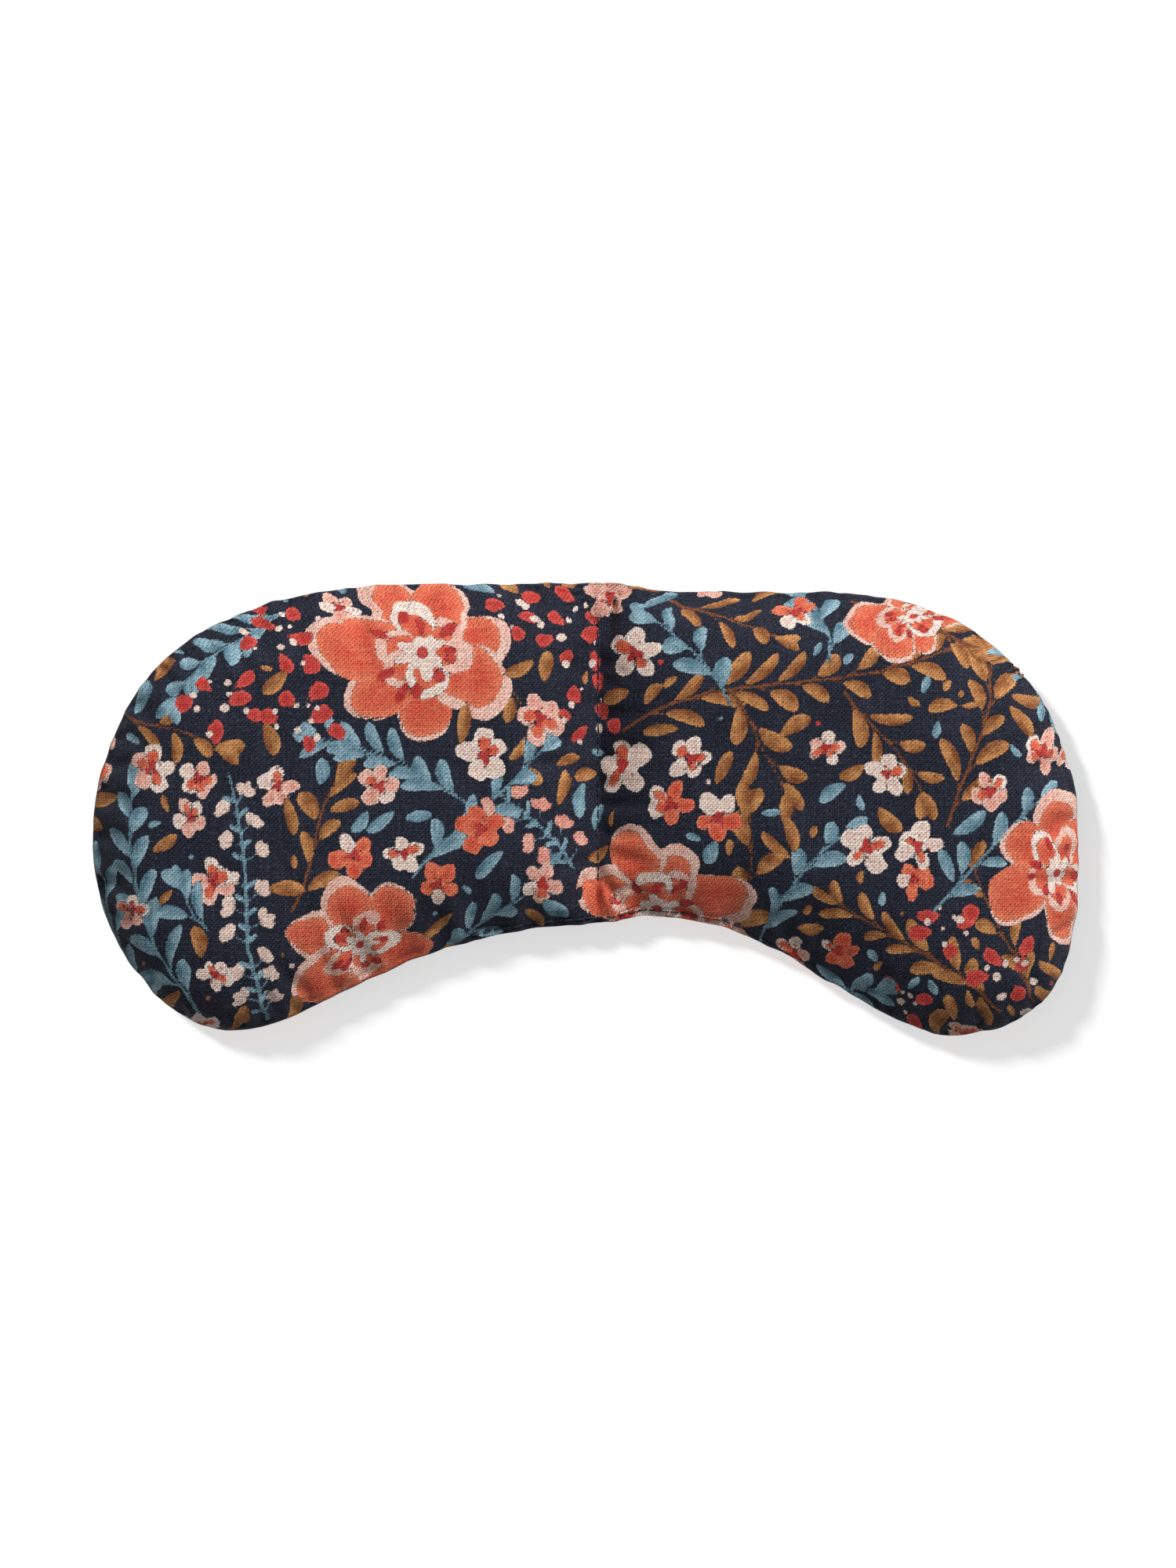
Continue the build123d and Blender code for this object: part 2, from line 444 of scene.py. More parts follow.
def crease(x, y, start, stop, depth, width):
    """A groove from start to stop that fades towards both ends. It has a low ridge on each side."""
    (x0, y0), (x1, y1) = start, stop
    length = math.hypot(x1 - x0, y1 - y0)
    along = ((x - x0) * (x1 - x0) + (y - y0) * (y1 - y0)) / length
    across = ((x - x0) * (y1 - y0) - (y - y0) * (x1 - x0)) / length
    fade = rise(along / (0.25 * length) + 0.5) * rise((length - along) / (0.5 * length))
    near = across / width
    return -depth * fade * (np.exp(-(near**2)) - 0.45 * np.exp(-((np.abs(near) - 1.9) ** 2)))


def pucker(run, distance, seed):
    """Small waves along the seam that fade towards the crown."""
    wave = lumps(run, 0 * run, 3.2, seed) + 0.7 * lumps(run, distance, 7.0, seed + 1)
    return wave * np.exp(-distance / 4.5) * (1 - np.exp(-distance / 0.7))


off_line = 1 - np.exp(-((from_line / 3.0) ** 2))
free = np.clip(edge_in / 6.0, 0, 1) * off_line
seed_lumps = 0.6 * lumps(gx, gy, 17.0, 21) + 0.45 * lumps(gx, gy, 9.0, 22) + 0.12 * lumps(gx, gy, 3.5, 23)
front[:, :, 2] += lump_height * seed_lumps * free
for points, seed in ((front, 31), (back, 37)):
    points[:, :, 2] += pucker_height * pucker(edge_run, edge_in, seed) * (1 - 0.5 * in_gap)
line_waves = lumps(0 * gy, gy, 2.6, 41) * np.exp(-from_line / 3.0) * (1 - np.exp(-from_line / 0.8))
front[:, :, 2] += 0.5 * line_waves * rise(edge_in / 4)
top, end = stitch_high, stitch_low
# Where each crease starts and stops, from the middle of the mask, then its depth and its width.
hand_folds = [
    ((fold_x + 0.4, top - 3), (fold_x + 4.4, top + 9.6), 2.3, 1.5),
    ((fold_x - 0.6, top - 1), (fold_x - 2.6, top + 8.8), 0.9, 1.3),
    ((fold_x + 2.4, top - 4), (fold_x + 9.5, top + 8.0), 0.8, 1.6),
    ((fold_x - 0.3, end + 2), (fold_x - 1.0, end - 9.5), 1.3, 1.1),
    ((fold_x + 0.8, end + 1), (fold_x + 7.5, end - 8.5), 0.8, 1.2),
    ((fold_x - 1.0, end + 1), (fold_x - 8.5, end - 8.0), 0.7, 1.3),
    ((fold_x - 1.5, end + 5), (fold_x - 14, end + 1.5), 0.55, 1.6),
    ((fold_x + 1.5, end + 6), (fold_x + 13, end + 3.0), 0.5, 1.6),
    ((-96, -43), (-84, -30), 0.55, 1.8),
    ((-84, -49), (-76, -36), 0.45, 1.6),
    ((-108, -28), (-94, -20), 0.4, 1.8),
    ((-46, -36), (-40, -24), 0.5, 1.7),
    ((-20, -28), (-17, -17), 0.45, 1.5),
    ((48, -34), (44, -24), 0.5, 1.7),
    ((70, -46), (66, -34), 0.45, 1.7),
    ((106, -42), (95, -33), 0.4, 1.7),
    ((108, 17), (96, 13), 0.35, 1.8),
    ((-104, 22), (-93, 17), 0.35, 1.8),
]
for start, stop, depth, width in hand_folds:
    front[:, :, 2] += crease(gx, gy, start, stop, depth, width) * rise(edge_in / 1.2)
topstitch_in = 1.3  # the closing row, in from the outline
stitch_row = np.exp(-(((edge_in - topstitch_in) / 0.5) ** 2)) * in_gap
front[:, :, 2] -= 0.16 * stitch_row
back[:, :, 2] += 0.12 * stitch_row
for points, side in ((front, 1), (back, -1)):
    rim_z = seam_z + side * ring_half
    points[0, :, 2] = points[-1, :, 2] = points[:, 0, 2] = points[:, -1, 2] = rim_z
thinnest = seam_z + ring_half + sewn_lip
floor_gap = 0.02  # the back never quite touches what it lies on
front[:, :, 2] = np.maximum(front[:, :, 2], thinnest)
back[:, :, 2] = np.clip(back[:, :, 2], floor_gap, 2 * seam_z - thinnest)
print("front up to", round(float(front[..., 2].max()), 2), "mm high")

# %% [markdown]
# ## The cloth laid flat
#
# The print is on flat cloth, and the filled cloth covers more than its shadow does. So each point of the
# grid gets a place on the flat cloth: its own place, pushed outwards by the length that the cloth gains on
# the way there over the slopes. The weave and the print then keep their size on the rounded edges.

# %% Lay the cloth flat
cut_span = 280.0  # the side of the square of cloth that the flat places are shares of


def gained(points, axis, base):
    """How far the slopes push each point outwards, summed along one axis of the grid from its base."""
    steps = np.diff(points, axis=axis)
    flat_length = np.maximum(np.hypot(steps[..., 0], steps[..., 1]), 1e-6)
    extra = np.sqrt(flat_length**2 + steps[..., 2] ** 2) - flat_length
    push = steps[..., :2] / flat_length[..., None] * extra[..., None]
    total = np.concatenate([np.zeros_like(np.take(push, [0], axis)), np.cumsum(push, axis)], axis)
    return total - np.take(total, [base], axis)


def laid_flat(points):
    return points[..., :2] + gained(points, 1, fine_across // 2) + gained(points, 0, fine_up // 2)


front_cut = laid_flat(front)
back_cut = laid_flat(back)
print("flat cloth", np.ptp(front_cut.reshape(-1, 2), axis=0).round(1), "mm")

# %% [markdown]
# ## The print
#
# The cloth is a dense garden of coral blooms, small pink flowers, berries and leaf sprays on a navy ground.
# An image would be the usual way. Here the print is drawn as distances: for every ink, each point of the
# cloth knows how far inside that ink's shapes it lies, so the shader can find a crisp edge anywhere between
# points. Ink laid later covers what is below it, as on a printing table.

# %% The printing table
inks = ("coral", "pink", "cream", "red", "ochre", "brown", "blue")
canvas_pitch = 0.32
canvas_half = np.array([136.0, 76.0])
canvas_x, canvas_y = (np.arange(-half, half, canvas_pitch) for half in canvas_half)
nothing = -9.0  # the depth where no ink is near
ink_depth = {ink: np.full((len(canvas_y), len(canvas_x)), nothing) for ink in inks}
cover = np.full((len(canvas_y), len(canvas_x)), nothing)
tone = np.zeros((len(canvas_y), len(canvas_x)))
rng = np.random.default_rng(5)


def window(x, y, reach):
    """The part of the canvas within this reach of a point, as a slice and its x and y values."""
    columns = slice(*np.searchsorted(canvas_x, (x - reach, x + reach)))
    rows = slice(*np.searchsorted(canvas_y, (y - reach, y + reach)))
    xs, ys = np.meshgrid(canvas_x[columns], canvas_y[rows])
    return (rows, columns), xs, ys


def lay_ink(ink, place, inside, shade=0.0):
    """Prints one shape over what is there. Its colour goes from dark to light as shade goes from 0 to 1."""
    for other in inks:
        field = ink_depth[other][place]
        ink_depth[other][place] = np.maximum(field, inside) if other == ink else np.minimum(field, -inside)
    cover[place] = np.maximum(cover[place], inside)
    tone[place] = np.where(inside > -0.35, shade, tone[place])


def empty_round(x, y):
    """How far the nearest ink is from a point of the cloth."""
    column = int(np.clip((x + canvas_half[0]) / canvas_pitch, 0, len(canvas_x) - 1))
    row = int(np.clip((y + canvas_half[1]) / canvas_pitch, 0, len(canvas_y) - 1))
    return -cover[row, column]


def turned(xs, ys, x, y, angle):
    """Places along and across a direction, from a point."""
    c, s = math.cos(angle), math.sin(angle)
    return (xs - x) * c + (ys - y) * s, (ys - y) * c - (xs - x) * s


def off(x, y, reach, angle):
    """The point this far from x, y in this direction."""
    return x + reach * math.cos(angle), y + reach * math.sin(angle)


def leaf(ink, x, y, angle, length, width, bend=0.0, lit_side=1):
    """A blunt leaf that starts at x, y. One side is darker, as if laid with one stroke of a loaded brush."""
    place, xs, ys = window(x, y, length + 2.5)
    along, across = turned(xs, ys, x, y, angle)
    q = np.clip(along / length, 0, 1)
    across = across - bend * length * 4 * q * (1 - q)
    half = width / 2 * (4 * q * (1 - q)) ** 0.58 * (0.78 + 0.44 * q)
    past = np.maximum(np.maximum(-along, along - length), 0)
    inside = np.where(past > 0, -np.hypot(past, across), (half - np.abs(across)) * 0.95)
    streak = 0.4 * lumps(along / 4, across, 0.6, 51) + 0.25 * lumps(xs, ys, 1.6, 52)
    shade = 0.5 + streak + 0.9 * lit_side * across / width + 0.35 * (q - 0.5)
    lay_ink(ink, place, inside, np.clip(shade, 0, 1))


def petal(ink, x, y, angle, length, width, rim=0.0, fullness=1.25, shade=0.3):
    """A rounded petal that starts at x, y. With a rim its edge fades to the lighter colour."""
    place, xs, ys = window(x, y, length + 2.5)
    along, across = turned(xs, ys, x, y, angle)
    q = np.clip(along / length, 0, None) ** fullness * 2 - 1 + np.minimum(along, 0) / length
    round_about = np.arctan2(across, along - length * 0.55)
    wobble = 1 + 0.06 * np.sin(3 * round_about + angle * 7) + 0.04 * np.sin(5 * round_about + x)
    inside = (1 - np.hypot(q, across / (width / 2)) / wobble) * min(length, width) / 2
    inside = inside + 0.12 * lumps(xs, ys, 1.1, 55)
    streak = shade + 0.28 * lumps(along / 6, across, 0.9, 53) + 0.25 * lumps(xs, ys, 2.5, 54)
    if rim:
        streak = np.maximum(streak, np.exp(-np.maximum(inside, 0) / rim) + 0.15 * lumps(xs, ys, 1.2, 56))
    lay_ink(ink, place, inside, np.clip(streak, 0, 1))


def dot(ink, x, y, radius):
    place, xs, ys = window(x, y, radius + 2)
    squash = 1 + 0.12 * math.sin(9 * x + 5 * y)
    lay_ink(ink, place, radius - np.hypot((xs - x) * squash, (ys - y) / squash), 0.4)


def stem(ink, points, thick, steps=14):
    """A stem along a smooth curve through its control points, thicker at its foot. It returns the curve."""
    controls = np.array(points, float)
    while len(controls) < 4:
        controls = np.insert(controls, 1, (controls[0] + controls[1]) / 2, 0)
    t = np.linspace(0, 1, steps)[:, None]
    a, b, c, d = controls
    curve = a * (1 - t) ** 3 + 3 * b * t * (1 - t) ** 2 + 3 * c * t * t * (1 - t) + d * t**3
    middle = (curve.min(0) + curve.max(0)) / 2
    place, xs, ys = window(middle[0], middle[1], float(np.ptp(curve, axis=0).max()) / 2 + 2)
    inside = np.full(xs.shape, nothing)
    for k in range(steps - 1):
        (x0, y0), (x1, y1) = curve[k], curve[k + 1]
        dx, dy = x1 - x0, y1 - y0
        share = np.clip(((xs - x0) * dx + (ys - y0) * dy) / (dx**2 + dy**2), 0, 1)
        gap = np.hypot(xs - x0 - share * dx, ys - y0 - share * dy)
        inside = np.maximum(inside, thick / 2 * (1 - 0.4 * k / steps) - gap)
    lay_ink(ink, place, inside, 0.3)
    return curve


print("printing table", len(canvas_x), "by", len(canvas_y), "points")

# %% [markdown]
# ## The motifs
#
# Each motif is a small rule: a spray is a stem with leaves to left and right, a flower is five petals and a
# heart, and a bloom is rings of rimmed petals with a pale heart. Their sizes and turns vary from a fixed
# seed, so no two are the same and every run is.

# %% Sprays, flowers, berries and blooms


def some(low, high):
    return float(rng.uniform(low, high))


def spray(ink, points, leaf_length, leaf_width, leaves, stem_ink=None, spread_angle=0.62, thick=0.7):
    """A stem with leaves on short stalks, on one side and then the other, smaller towards its tip."""
    stem_ink = stem_ink or ink
    curve = stem(stem_ink, points, thick, 18)
    for k, share in enumerate(np.linspace(0.1, 0.96, leaves)):
        at = share * (len(curve) - 1)
        low = min(int(at), len(curve) - 2)
        place = curve[low] + (curve[low + 1] - curve[low]) * (at - low)
        way = math.atan2(*(curve[low + 1] - curve[low])[::-1])
        side = 1 if k % 2 else -1
        out = way + spread_angle * some(0.7, 1.3) * side
        stalk = leaf_length * some(0.12, 0.4)
        foot = place + stalk * np.array([math.cos(out - 0.25 * side), math.sin(out - 0.25 * side)])
        stem(stem_ink, [place, foot], thick * 0.7, 4)
        size = leaf_length * (1 - 0.3 * share) * some(0.75, 1.2)
        leaf(ink, foot[0], foot[1], out, size, leaf_width * some(0.8, 1.25), -0.08 * side, side)
    tip, before = curve[-1], curve[-2]
    leaf(ink, tip[0], tip[1], math.atan2(*(tip - before)[::-1]), leaf_length * 0.8, leaf_width * 0.9, 0.05)


def blossom(x, y, radius, petal_ink="pink", heart_ink="red", petals=5):
    """A small open flower. Some of its petals are flushed with coral."""
    first = some(0, 2 * math.pi)
    for k in range(petals):
        angle = first + 2 * math.pi * k / petals + some(-0.2, 0.2)
        length, width = radius * some(0.8, 1.15), radius * some(0.6, 0.88)
        px, py = off(x, y, radius * 0.1, angle)
        petal("cream" if rng.random() < 0.25 else petal_ink, px, py, angle, length, width, 0.7)
        if rng.random() < 0.4:
            petal("coral", px, py, angle, length * some(0.6, 0.82), width * some(0.5, 0.72), 0.8, 1.25, 0.5)
    for k in range(3):
        angle = first + 2.1 * k
        petal(heart_ink, x, y, angle, radius * some(0.26, 0.4), radius * some(0.2, 0.3), 0.0, 1.0)
    for k in range(4):
        angle = first + 1.7 * k
        dot(heart_ink, *off(x, y, radius * some(0.38, 0.56), angle), some(0.22, 0.4))


def berries(x, y, radius, count):
    """A cluster of red berries and petals with pale dots between them."""
    for k in range(count):
        angle = 2.4 * k + some(-0.3, 0.3)
        px, py = off(x, y, radius * math.sqrt((k + 0.5) / count), angle)
        petal("red", px, py, angle + some(-0.6, 0.6), some(3.6, 5.6), some(2.8, 4.2), 0.5)
    for k in range(count + 2):
        dot("cream", *off(x, y, radius * some(0.3, 1.25), 2.4 * k + 1.1), some(0.5, 1.15))


def bloom(x, y, radius, petals, first):
    """A large bloom seen a little from the side: pale-rimmed coral petals, a pale heart and red strokes."""
    for k in rng.permutation(petals):
        angle = first + 2 * math.pi * k / petals + some(-0.15, 0.15)
        length = radius * some(0.82, 1.15)
        width = length * some(0.62, 0.86)
        px, py = off(x, y, 0.08 * radius, angle)
        petal("pink", px, py, angle, length, width, 0.8, 1.3, 0.75)
        angle += some(-0.1, 0.1)
        petal("coral", px, py, angle, length * some(0.84, 0.99), width * some(0.76, 0.97), 3.0, 1.3)
    for k in range(petals - 1):
        angle = first + 0.5 + 2 * math.pi * k / (petals - 1) + some(-0.2, 0.2)
        length, width = radius * some(0.46, 0.66), radius * some(0.34, 0.46)
        petal("cream" if k % 3 == 1 else "pink", x, y, angle, length, width, 0.8, 1.3, 0.7)
        petal("coral", x, y, angle, length * some(0.66, 0.85), width * some(0.6, 0.8), 1.4, 1.3, 0.35)
    for k in range(petals + 3):
        angle = first + 2 * math.pi * k / (petals + 3) + some(-0.25, 0.25)
        px, py = off(x, y, radius * some(0.2, 0.42), angle)
        petal("red", px, py, angle, radius * some(0.1, 0.2), radius * some(0.07, 0.12), 0.0, 1.0)
    for k in range(8):
        angle = first + 0.8 * k + some(-0.25, 0.25)
        petal("cream", x, y, angle, radius * some(0.16, 0.36), radius * some(0.08, 0.14), 0.0, 1.3, 0.6)
    dot("red", x, y, radius * 0.06)


def twig(x, y, ink, leaf_length, leaf_width, leaves):
    """A short spray that starts at x, y and grows towards the barest ground."""
    length = leaf_length * leaves * 0.34
    first = some(0, 1)
    ways = [first + 2 * math.pi * k / 9 for k in range(9)]
    way = max(ways, key=lambda a: empty_round(*off(x, y, length, a)))
    tip = off(x, y, length, way)
    if empty_round(*tip) < 2.6:
        return
    middle = off(x, y, length * 0.5, way + some(-0.35, 0.35))
    stem_ink = "brown" if ink == "ochre" else "blue"
    spray(ink, [(x, y), middle, tip], leaf_length, leaf_width, leaves, stem_ink, 0.7, 0.55)


def sprig(points, count, flower_ink="cream"):
    """A blue stem with small pale bell flowers on short stalks."""
    curve = stem("blue", points, 0.9, 20)
    for k in range(count):
        at = 1 + k * (len(curve) - 2) / count
        place = curve[int(at)]
        way = math.atan2(*(curve[int(at)] - curve[int(at) - 1])[::-1])
        side = 1 if k % 2 else -1
        out = way + side * some(0.8, 1.15)
        reach = some(3.2, 5.0) * (1 - 0.3 * k / count)
        x, y = off(place[0], place[1], reach, out)
        stem("blue", [place, ((place[0] + x) / 2 + 0.3, (place[1] + y) / 2), (x, y)], 0.5, 5)
        for turn_out in (-0.75, 0.05, 0.8):
            petal(flower_ink, x, y, out + turn_out + some(-0.15, 0.15), some(2.6, 3.5), some(1.7, 2.3), 0.0)
        leaf("blue", place[0], place[1], way - side * 0.9, some(2.5, 4.0), 1.1)


print("motif rules ready")

# %% [markdown]
# ## The pattern
#
# The large motifs are listed one by one so that the colours balance over the two pads: long sprays first,
# then
# the blooms over them, then berries and flowers. Small leaves, flowers and dots fill the ground that is left.

# %% Compose the pattern
# The four points that shape each stem, then the length, the width and the number of its leaves.
ochre_sprays = [
    ([(10, 18), (34, 34), (60, 24), (88, 38)], 9.5, 2.9, 17),
    ([(36, 27), (42, 20), (42, 14), (48, 6)], 9.0, 2.8, 5),
    ([(62, 27), (66, 20), (76, 14), (80, 4)], 8.5, 2.6, 7),
    ([(86, -4), (90, 10), (98, 22), (96, 36)], 9.5, 2.9, 10),
    ([(98, -48), (88, -36), (76, -32), (60, -22)], 8.5, 2.5, 11),
    ([(106, -46), (103, -36), (97, -28), (92, -14)], 7.5, 2.4, 7),
    ([(-70, -24), (-64, -12), (-66, -2), (-60, 6)], 9.0, 3.0, 6),
    ([(30, -34), (38, -24), (42, -14), (40, -2)], 10.0, 3.3, 5),
    ([(-22, 30), (-17, 24), (-14, 20), (-16, 10)], 6.5, 2.4, 4),
    ([(20, 50), (28, 46), (36, 46), (46, 40)], 7.5, 2.4, 6),
    ([(-112, 22), (-104, 18), (-96, 20), (-88, 14)], 7.5, 2.6, 4),
    ([(62, 50), (74, 44), (82, 44), (92, 38)], 7.0, 2.4, 6),
]
blue_sprays = [
    ([(-28, 0), (-42, 8), (-52, 14), (-64, 16)], 7.5, 2.6, 13),
    ([(-42, -16), (-36, -6), (-24, 0), (-12, 14)], 7.5, 2.7, 9),
    ([(-68, 48), (-80, 42), (-90, 36), (-98, 26)], 7.5, 2.7, 10),
    ([(-90, -50), (-103, -36), (-110, -18), (-108, 4)], 9.0, 3.0, 13),
    ([(-98, -52), (-110, -40), (-114, -30), (-118, -14)], 8.0, 2.6, 8),
    ([(36, 24), (32, 32), (26, 38), (18, 44)], 8.0, 3.0, 6),
    ([(58, 34), (60, 40), (58, 46), (50, 52)], 8.0, 3.2, 5),
    ([(40, -34), (46, -24), (50, -14), (62, -6)], 8.0, 2.7, 7),
    ([(82, -24), (92, -14), (98, -6), (108, 2)], 7.5, 2.5, 7),
    ([(-38, -42), (-30, -32), (-20, -26), (-12, -16)], 7.5, 2.6, 8),
    ([(94, 48), (100, 40), (108, 34), (112, 22)], 7.0, 2.5, 6),
]
for points, length, width, leaves in ochre_sprays:
    spray("ochre", points, length * 1.08, width * 1.12, leaves, "brown")
for points, length, width, leaves in blue_sprays:
    spray("blue", points, length * 1.08, width * 1.1, leaves)
sprig([(-74, -52), (-84, -34), (-78, -14), (-85, 8)], 15)
sprig([(-4, -14), (-10, -6), (-16, -2), (-24, 4)], 8, "pink")
# The middle and the radius of each bloom, its petals, and the direction of the first.
blooms = [(-40, 36, 22.0, 7, 0.3), (17, -25, 20.0, 7, 0.2), (-54, -33, 16.0, 6, 0.9)]
blooms += [(113, -15, 17.0, 6, 0.5), (77, 46, 12.5, 6, 0.1)]
for x, y, radius, petals, first in blooms:
    bloom(x, y, radius, petals, first)
# The middle, the radius and the number of berries in each cluster.
clusters = [(-72, 40, 7.5, 7), (-87, 25, 7, 6), (-68, 21, 6.5, 6), (-4, 41, 7.5, 7), (0, 23, 6.5, 6)]
clusters += [(86, -27, 5, 5), (100, -38, 5.5, 5), (76, -46, 4, 3), (-18, 46, 4.5, 4)]
for x, y, radius, count in clusters:
    berries(x, y, radius, count)
# The middle and the radius of each small flower.
flowers = [(-26, 12, 6.2), (-27, -5, 5.4), (-13, 21, 5.6), (-50, 5, 4.8), (-56, -11, 5.0), (-103, 9, 5.4)]
flowers += [(-92, 7, 4.4), (10, 10, 6.4), (13, 36, 5.8), (22, 1, 5.0), (33, -2, 5.2), (58, 14, 4.0)]
flowers += [(67, -9, 5.6), (72, 8, 4.6), (109, 13, 5.0), (96, 4, 4.4), (60, -34, 4.6), (6, 50, 5.4)]
flowers += [(-12, -18, 5.0), (100, 47, 4.2), (-108, -24, 4.0), (-36, -18, 4.6), (50, 47, 4.4)]
flowers += [(-58, 48, 4.0), (78, -16, 4.2)]
for x, y, radius in flowers:
    if rng.random() < 0.8:
        blossom(x, y, radius, "cream" if rng.random() < 0.25 else "pink")
    else:
        blossom(x, y, radius, "coral", "red")


def fill_ground(tries, room, draw):
    """Draws a small motif wherever the cloth is still bare for this far around a random point."""
    drawn = 0
    for _ in range(tries):
        x, y = some(-128, 128), some(-68, 68)
        if empty_round(x, y) > room:
            draw(x, y)
            drawn += 1
    return drawn


def loose_twig(x, y):
    if rng.random() < 0.6:
        twig(x, y, "ochre", some(7.0, 9.0), some(2.6, 3.4), 4)
    else:
        twig(x, y, "blue", some(6.5, 8.5), some(2.4, 3.2), 4)


def loose_leaf(x, y):
    angle, length = some(0, 2 * math.pi), some(6.0, 9.5)
    ink = "ochre" if rng.random() < 0.72 else "blue"
    leaf(ink, *off(x, y, -length / 2, angle), angle, length, some(2.5, 3.6), some(-0.1, 0.1))


def small_blossom(x, y):
    blossom(x, y, some(3.6, 5.0), "pink" if rng.random() < 0.65 else "cream")


def fine_leaf(x, y):
    angle = some(0, 2 * math.pi)
    ink = "blue" if rng.random() < 0.4 else "ochre"
    leaf(ink, *off(x, y, -1.8, angle), angle, some(3.0, 5.0), some(1.3, 1.9), some(-0.1, 0.1))


def fine_dot(x, y):
    dot(("ochre", "cream", "ochre", "red", "blue")[int(rng.integers(5))], x, y, some(0.4, 0.75))


counts = [
    fill_ground(600, 5.3, small_blossom),
    fill_ground(500, 4.4, loose_twig),
    fill_ground(3500, 2.9, loose_leaf),
    fill_ground(1600, 2.1, fine_leaf),
    fill_ground(300, 1.5, fine_dot),
]
printed = float((np.max([ink_depth[ink] for ink in inks], axis=0) > 0)[60:-60, 60:-60].mean())
print("small motifs drawn", counts, "share of the cloth printed", round(printed, 2))

# %% [markdown]
# ## The panels
#
# Each panel is one piece of cloth from ear to ear. It is a closed shell: the fine grid is its outer face, a
# coarse one a cloth's thickness inside is its inner face, and between them the hem turns in along the seam.

# %% Build the panels
cloth_thickness = 0.4
inner_rim_in = 0.3  # the rim of the inner face, in from the outline


def surface_normals(points):
    """The direction that each point of a grid faces."""
    across = np.gradient(points, axis=1)
    up = np.gradient(points, axis=0)
    facing = np.cross(across, up)
    return facing / np.maximum(np.linalg.norm(facing, axis=2, keepdims=True), 1e-9)


def inner_face(points, side):
    """The coarse inner face of a panel, inside its cloth. Side is 1 for the front and -1 for the back."""
    inwards = side * surface_normals(points) * cloth_thickness * np.array([0.6, 0.6, 1])
    inside = (points - inwards)[::finer, ::finer].copy()
    towards = heart - inside[..., :2]
    towards /= np.linalg.norm(towards, axis=2, keepdims=True)
    rim = np.ones(inside.shape[:2], bool)
    rim[1:-1, 1:-1] = False
    level = seam_z + side * ring_half
    inside[rim, :2] = points[::finer, ::finer][rim][:, :2] + towards[rim] * inner_rim_in
    inside[rim, 2] = level
    inside[..., 2] = np.maximum(inside[..., 2], level) if side > 0 else np.minimum(inside[..., 2], level)
    return inside


def rim_of(numbers):
    """The border of a grid of numbers, once round, without repeating the first."""
    return np.concatenate([numbers[0, :-1], numbers[:-1, -1], numbers[-1, :0:-1], numbers[:0:-1, 0]])


def face_outwards(mesh, merge_within=None):
    """Turns every face outwards, after joining the points that coincide where that is asked for."""
    work = bmesh.new()
    work.from_mesh(mesh)
    if merge_within:
        bmesh.ops.remove_doubles(work, verts=work.verts, dist=merge_within)
    bmesh.ops.recalc_face_normals(work, faces=work.faces)
    work.to_mesh(mesh)
    work.free()


def new_piece(name, points, faces):
    mesh = bpy.data.meshes.new(name)
    mesh.from_pydata((np.asarray(points) / MM).tolist(), [], [list(map(int, face)) for face in faces])
    face_outwards(mesh)
    mesh.shade_smooth()
    return add_object(name, mesh)


def panel(name, points, side):
    """The closed shell of one panel."""
    rows, columns = points.shape[:2]
    outer = np.arange(rows * columns).reshape(rows, columns)
    inside = inner_face(points, side)
    inner = rows * columns + np.arange(inside.shape[0] * inside.shape[1]).reshape(inside.shape[:2])
    faces = two_skins(outer, inner)
    fine_rim, coarse_rim = rim_of(outer), rim_of(inner)
    for k in range(len(coarse_rim)):
        here, ahead = coarse_rim[k], coarse_rim[(k + 1) % len(coarse_rim)]
        steps = [fine_rim[(k * finer + j) % len(fine_rim)] for j in range(finer + 1)]
        half = finer // 2
        faces += [(steps[j + 1], steps[j], here) for j in range(half)]
        faces.append((ahead, steps[half], here))
        faces += [(steps[j + 1], steps[j], ahead) for j in range(half, finer)]
    return new_piece(name, np.vstack([points.reshape(-1, 3), inside.reshape(-1, 3)]), faces)


def on_canvas(field, cut):
    """The value of a field of the printing table at each place on the cloth."""
    x = np.clip((cut[..., 0] + canvas_half[0]) / canvas_pitch, 0, len(canvas_x) - 1.001)
    y = np.clip((cut[..., 1] + canvas_half[1]) / canvas_pitch, 0, len(canvas_y) - 1.001)
    i, j = np.floor(x).astype(int), np.floor(y).astype(int)
    fx, fy = x - i, y - j
    low = field[j, i] * (1 - fx) + field[j, i + 1] * fx
    high = field[j + 1, i] * (1 - fx) + field[j + 1, i + 1] * fx
    return low * (1 - fy) + high * fy


def print_cloth(piece, cut, turned_round):
    """Gives a panel its flat cloth places as a UV map, and each ink's depth at every point."""
    cut = np.vstack([cut.reshape(-1, 2), cut[::finer, ::finer].reshape(-1, 2)])
    mesh = piece.data
    corners = np.empty(len(mesh.loops), int)
    mesh.loops.foreach_get("vertex_index", corners)
    uv = (cut[corners] / cut_span + 0.5).astype(np.float32).ravel()
    mesh.uv_layers.new(name="cut").data.foreach_set("uv", uv)
    place = -cut if turned_round else cut
    fields = {"ink_" + ink: np.maximum(on_canvas(ink_depth[ink], place), -3.0) for ink in inks}
    fields["ink_tone"] = on_canvas(tone, place)
    for name, values in fields.items():
        mesh.attributes.new(name, "FLOAT", "POINT").data.foreach_set("value", values.astype(np.float32))


front_panel = panel("front_panel", front, 1)
back_panel = panel("back_panel", back, -1)
print_cloth(front_panel, front_cut, False)
print_cloth(back_panel, back_cut, True)
print("triangles in a panel", sum(len(p.vertices) - 2 for p in front_panel.data.polygons))

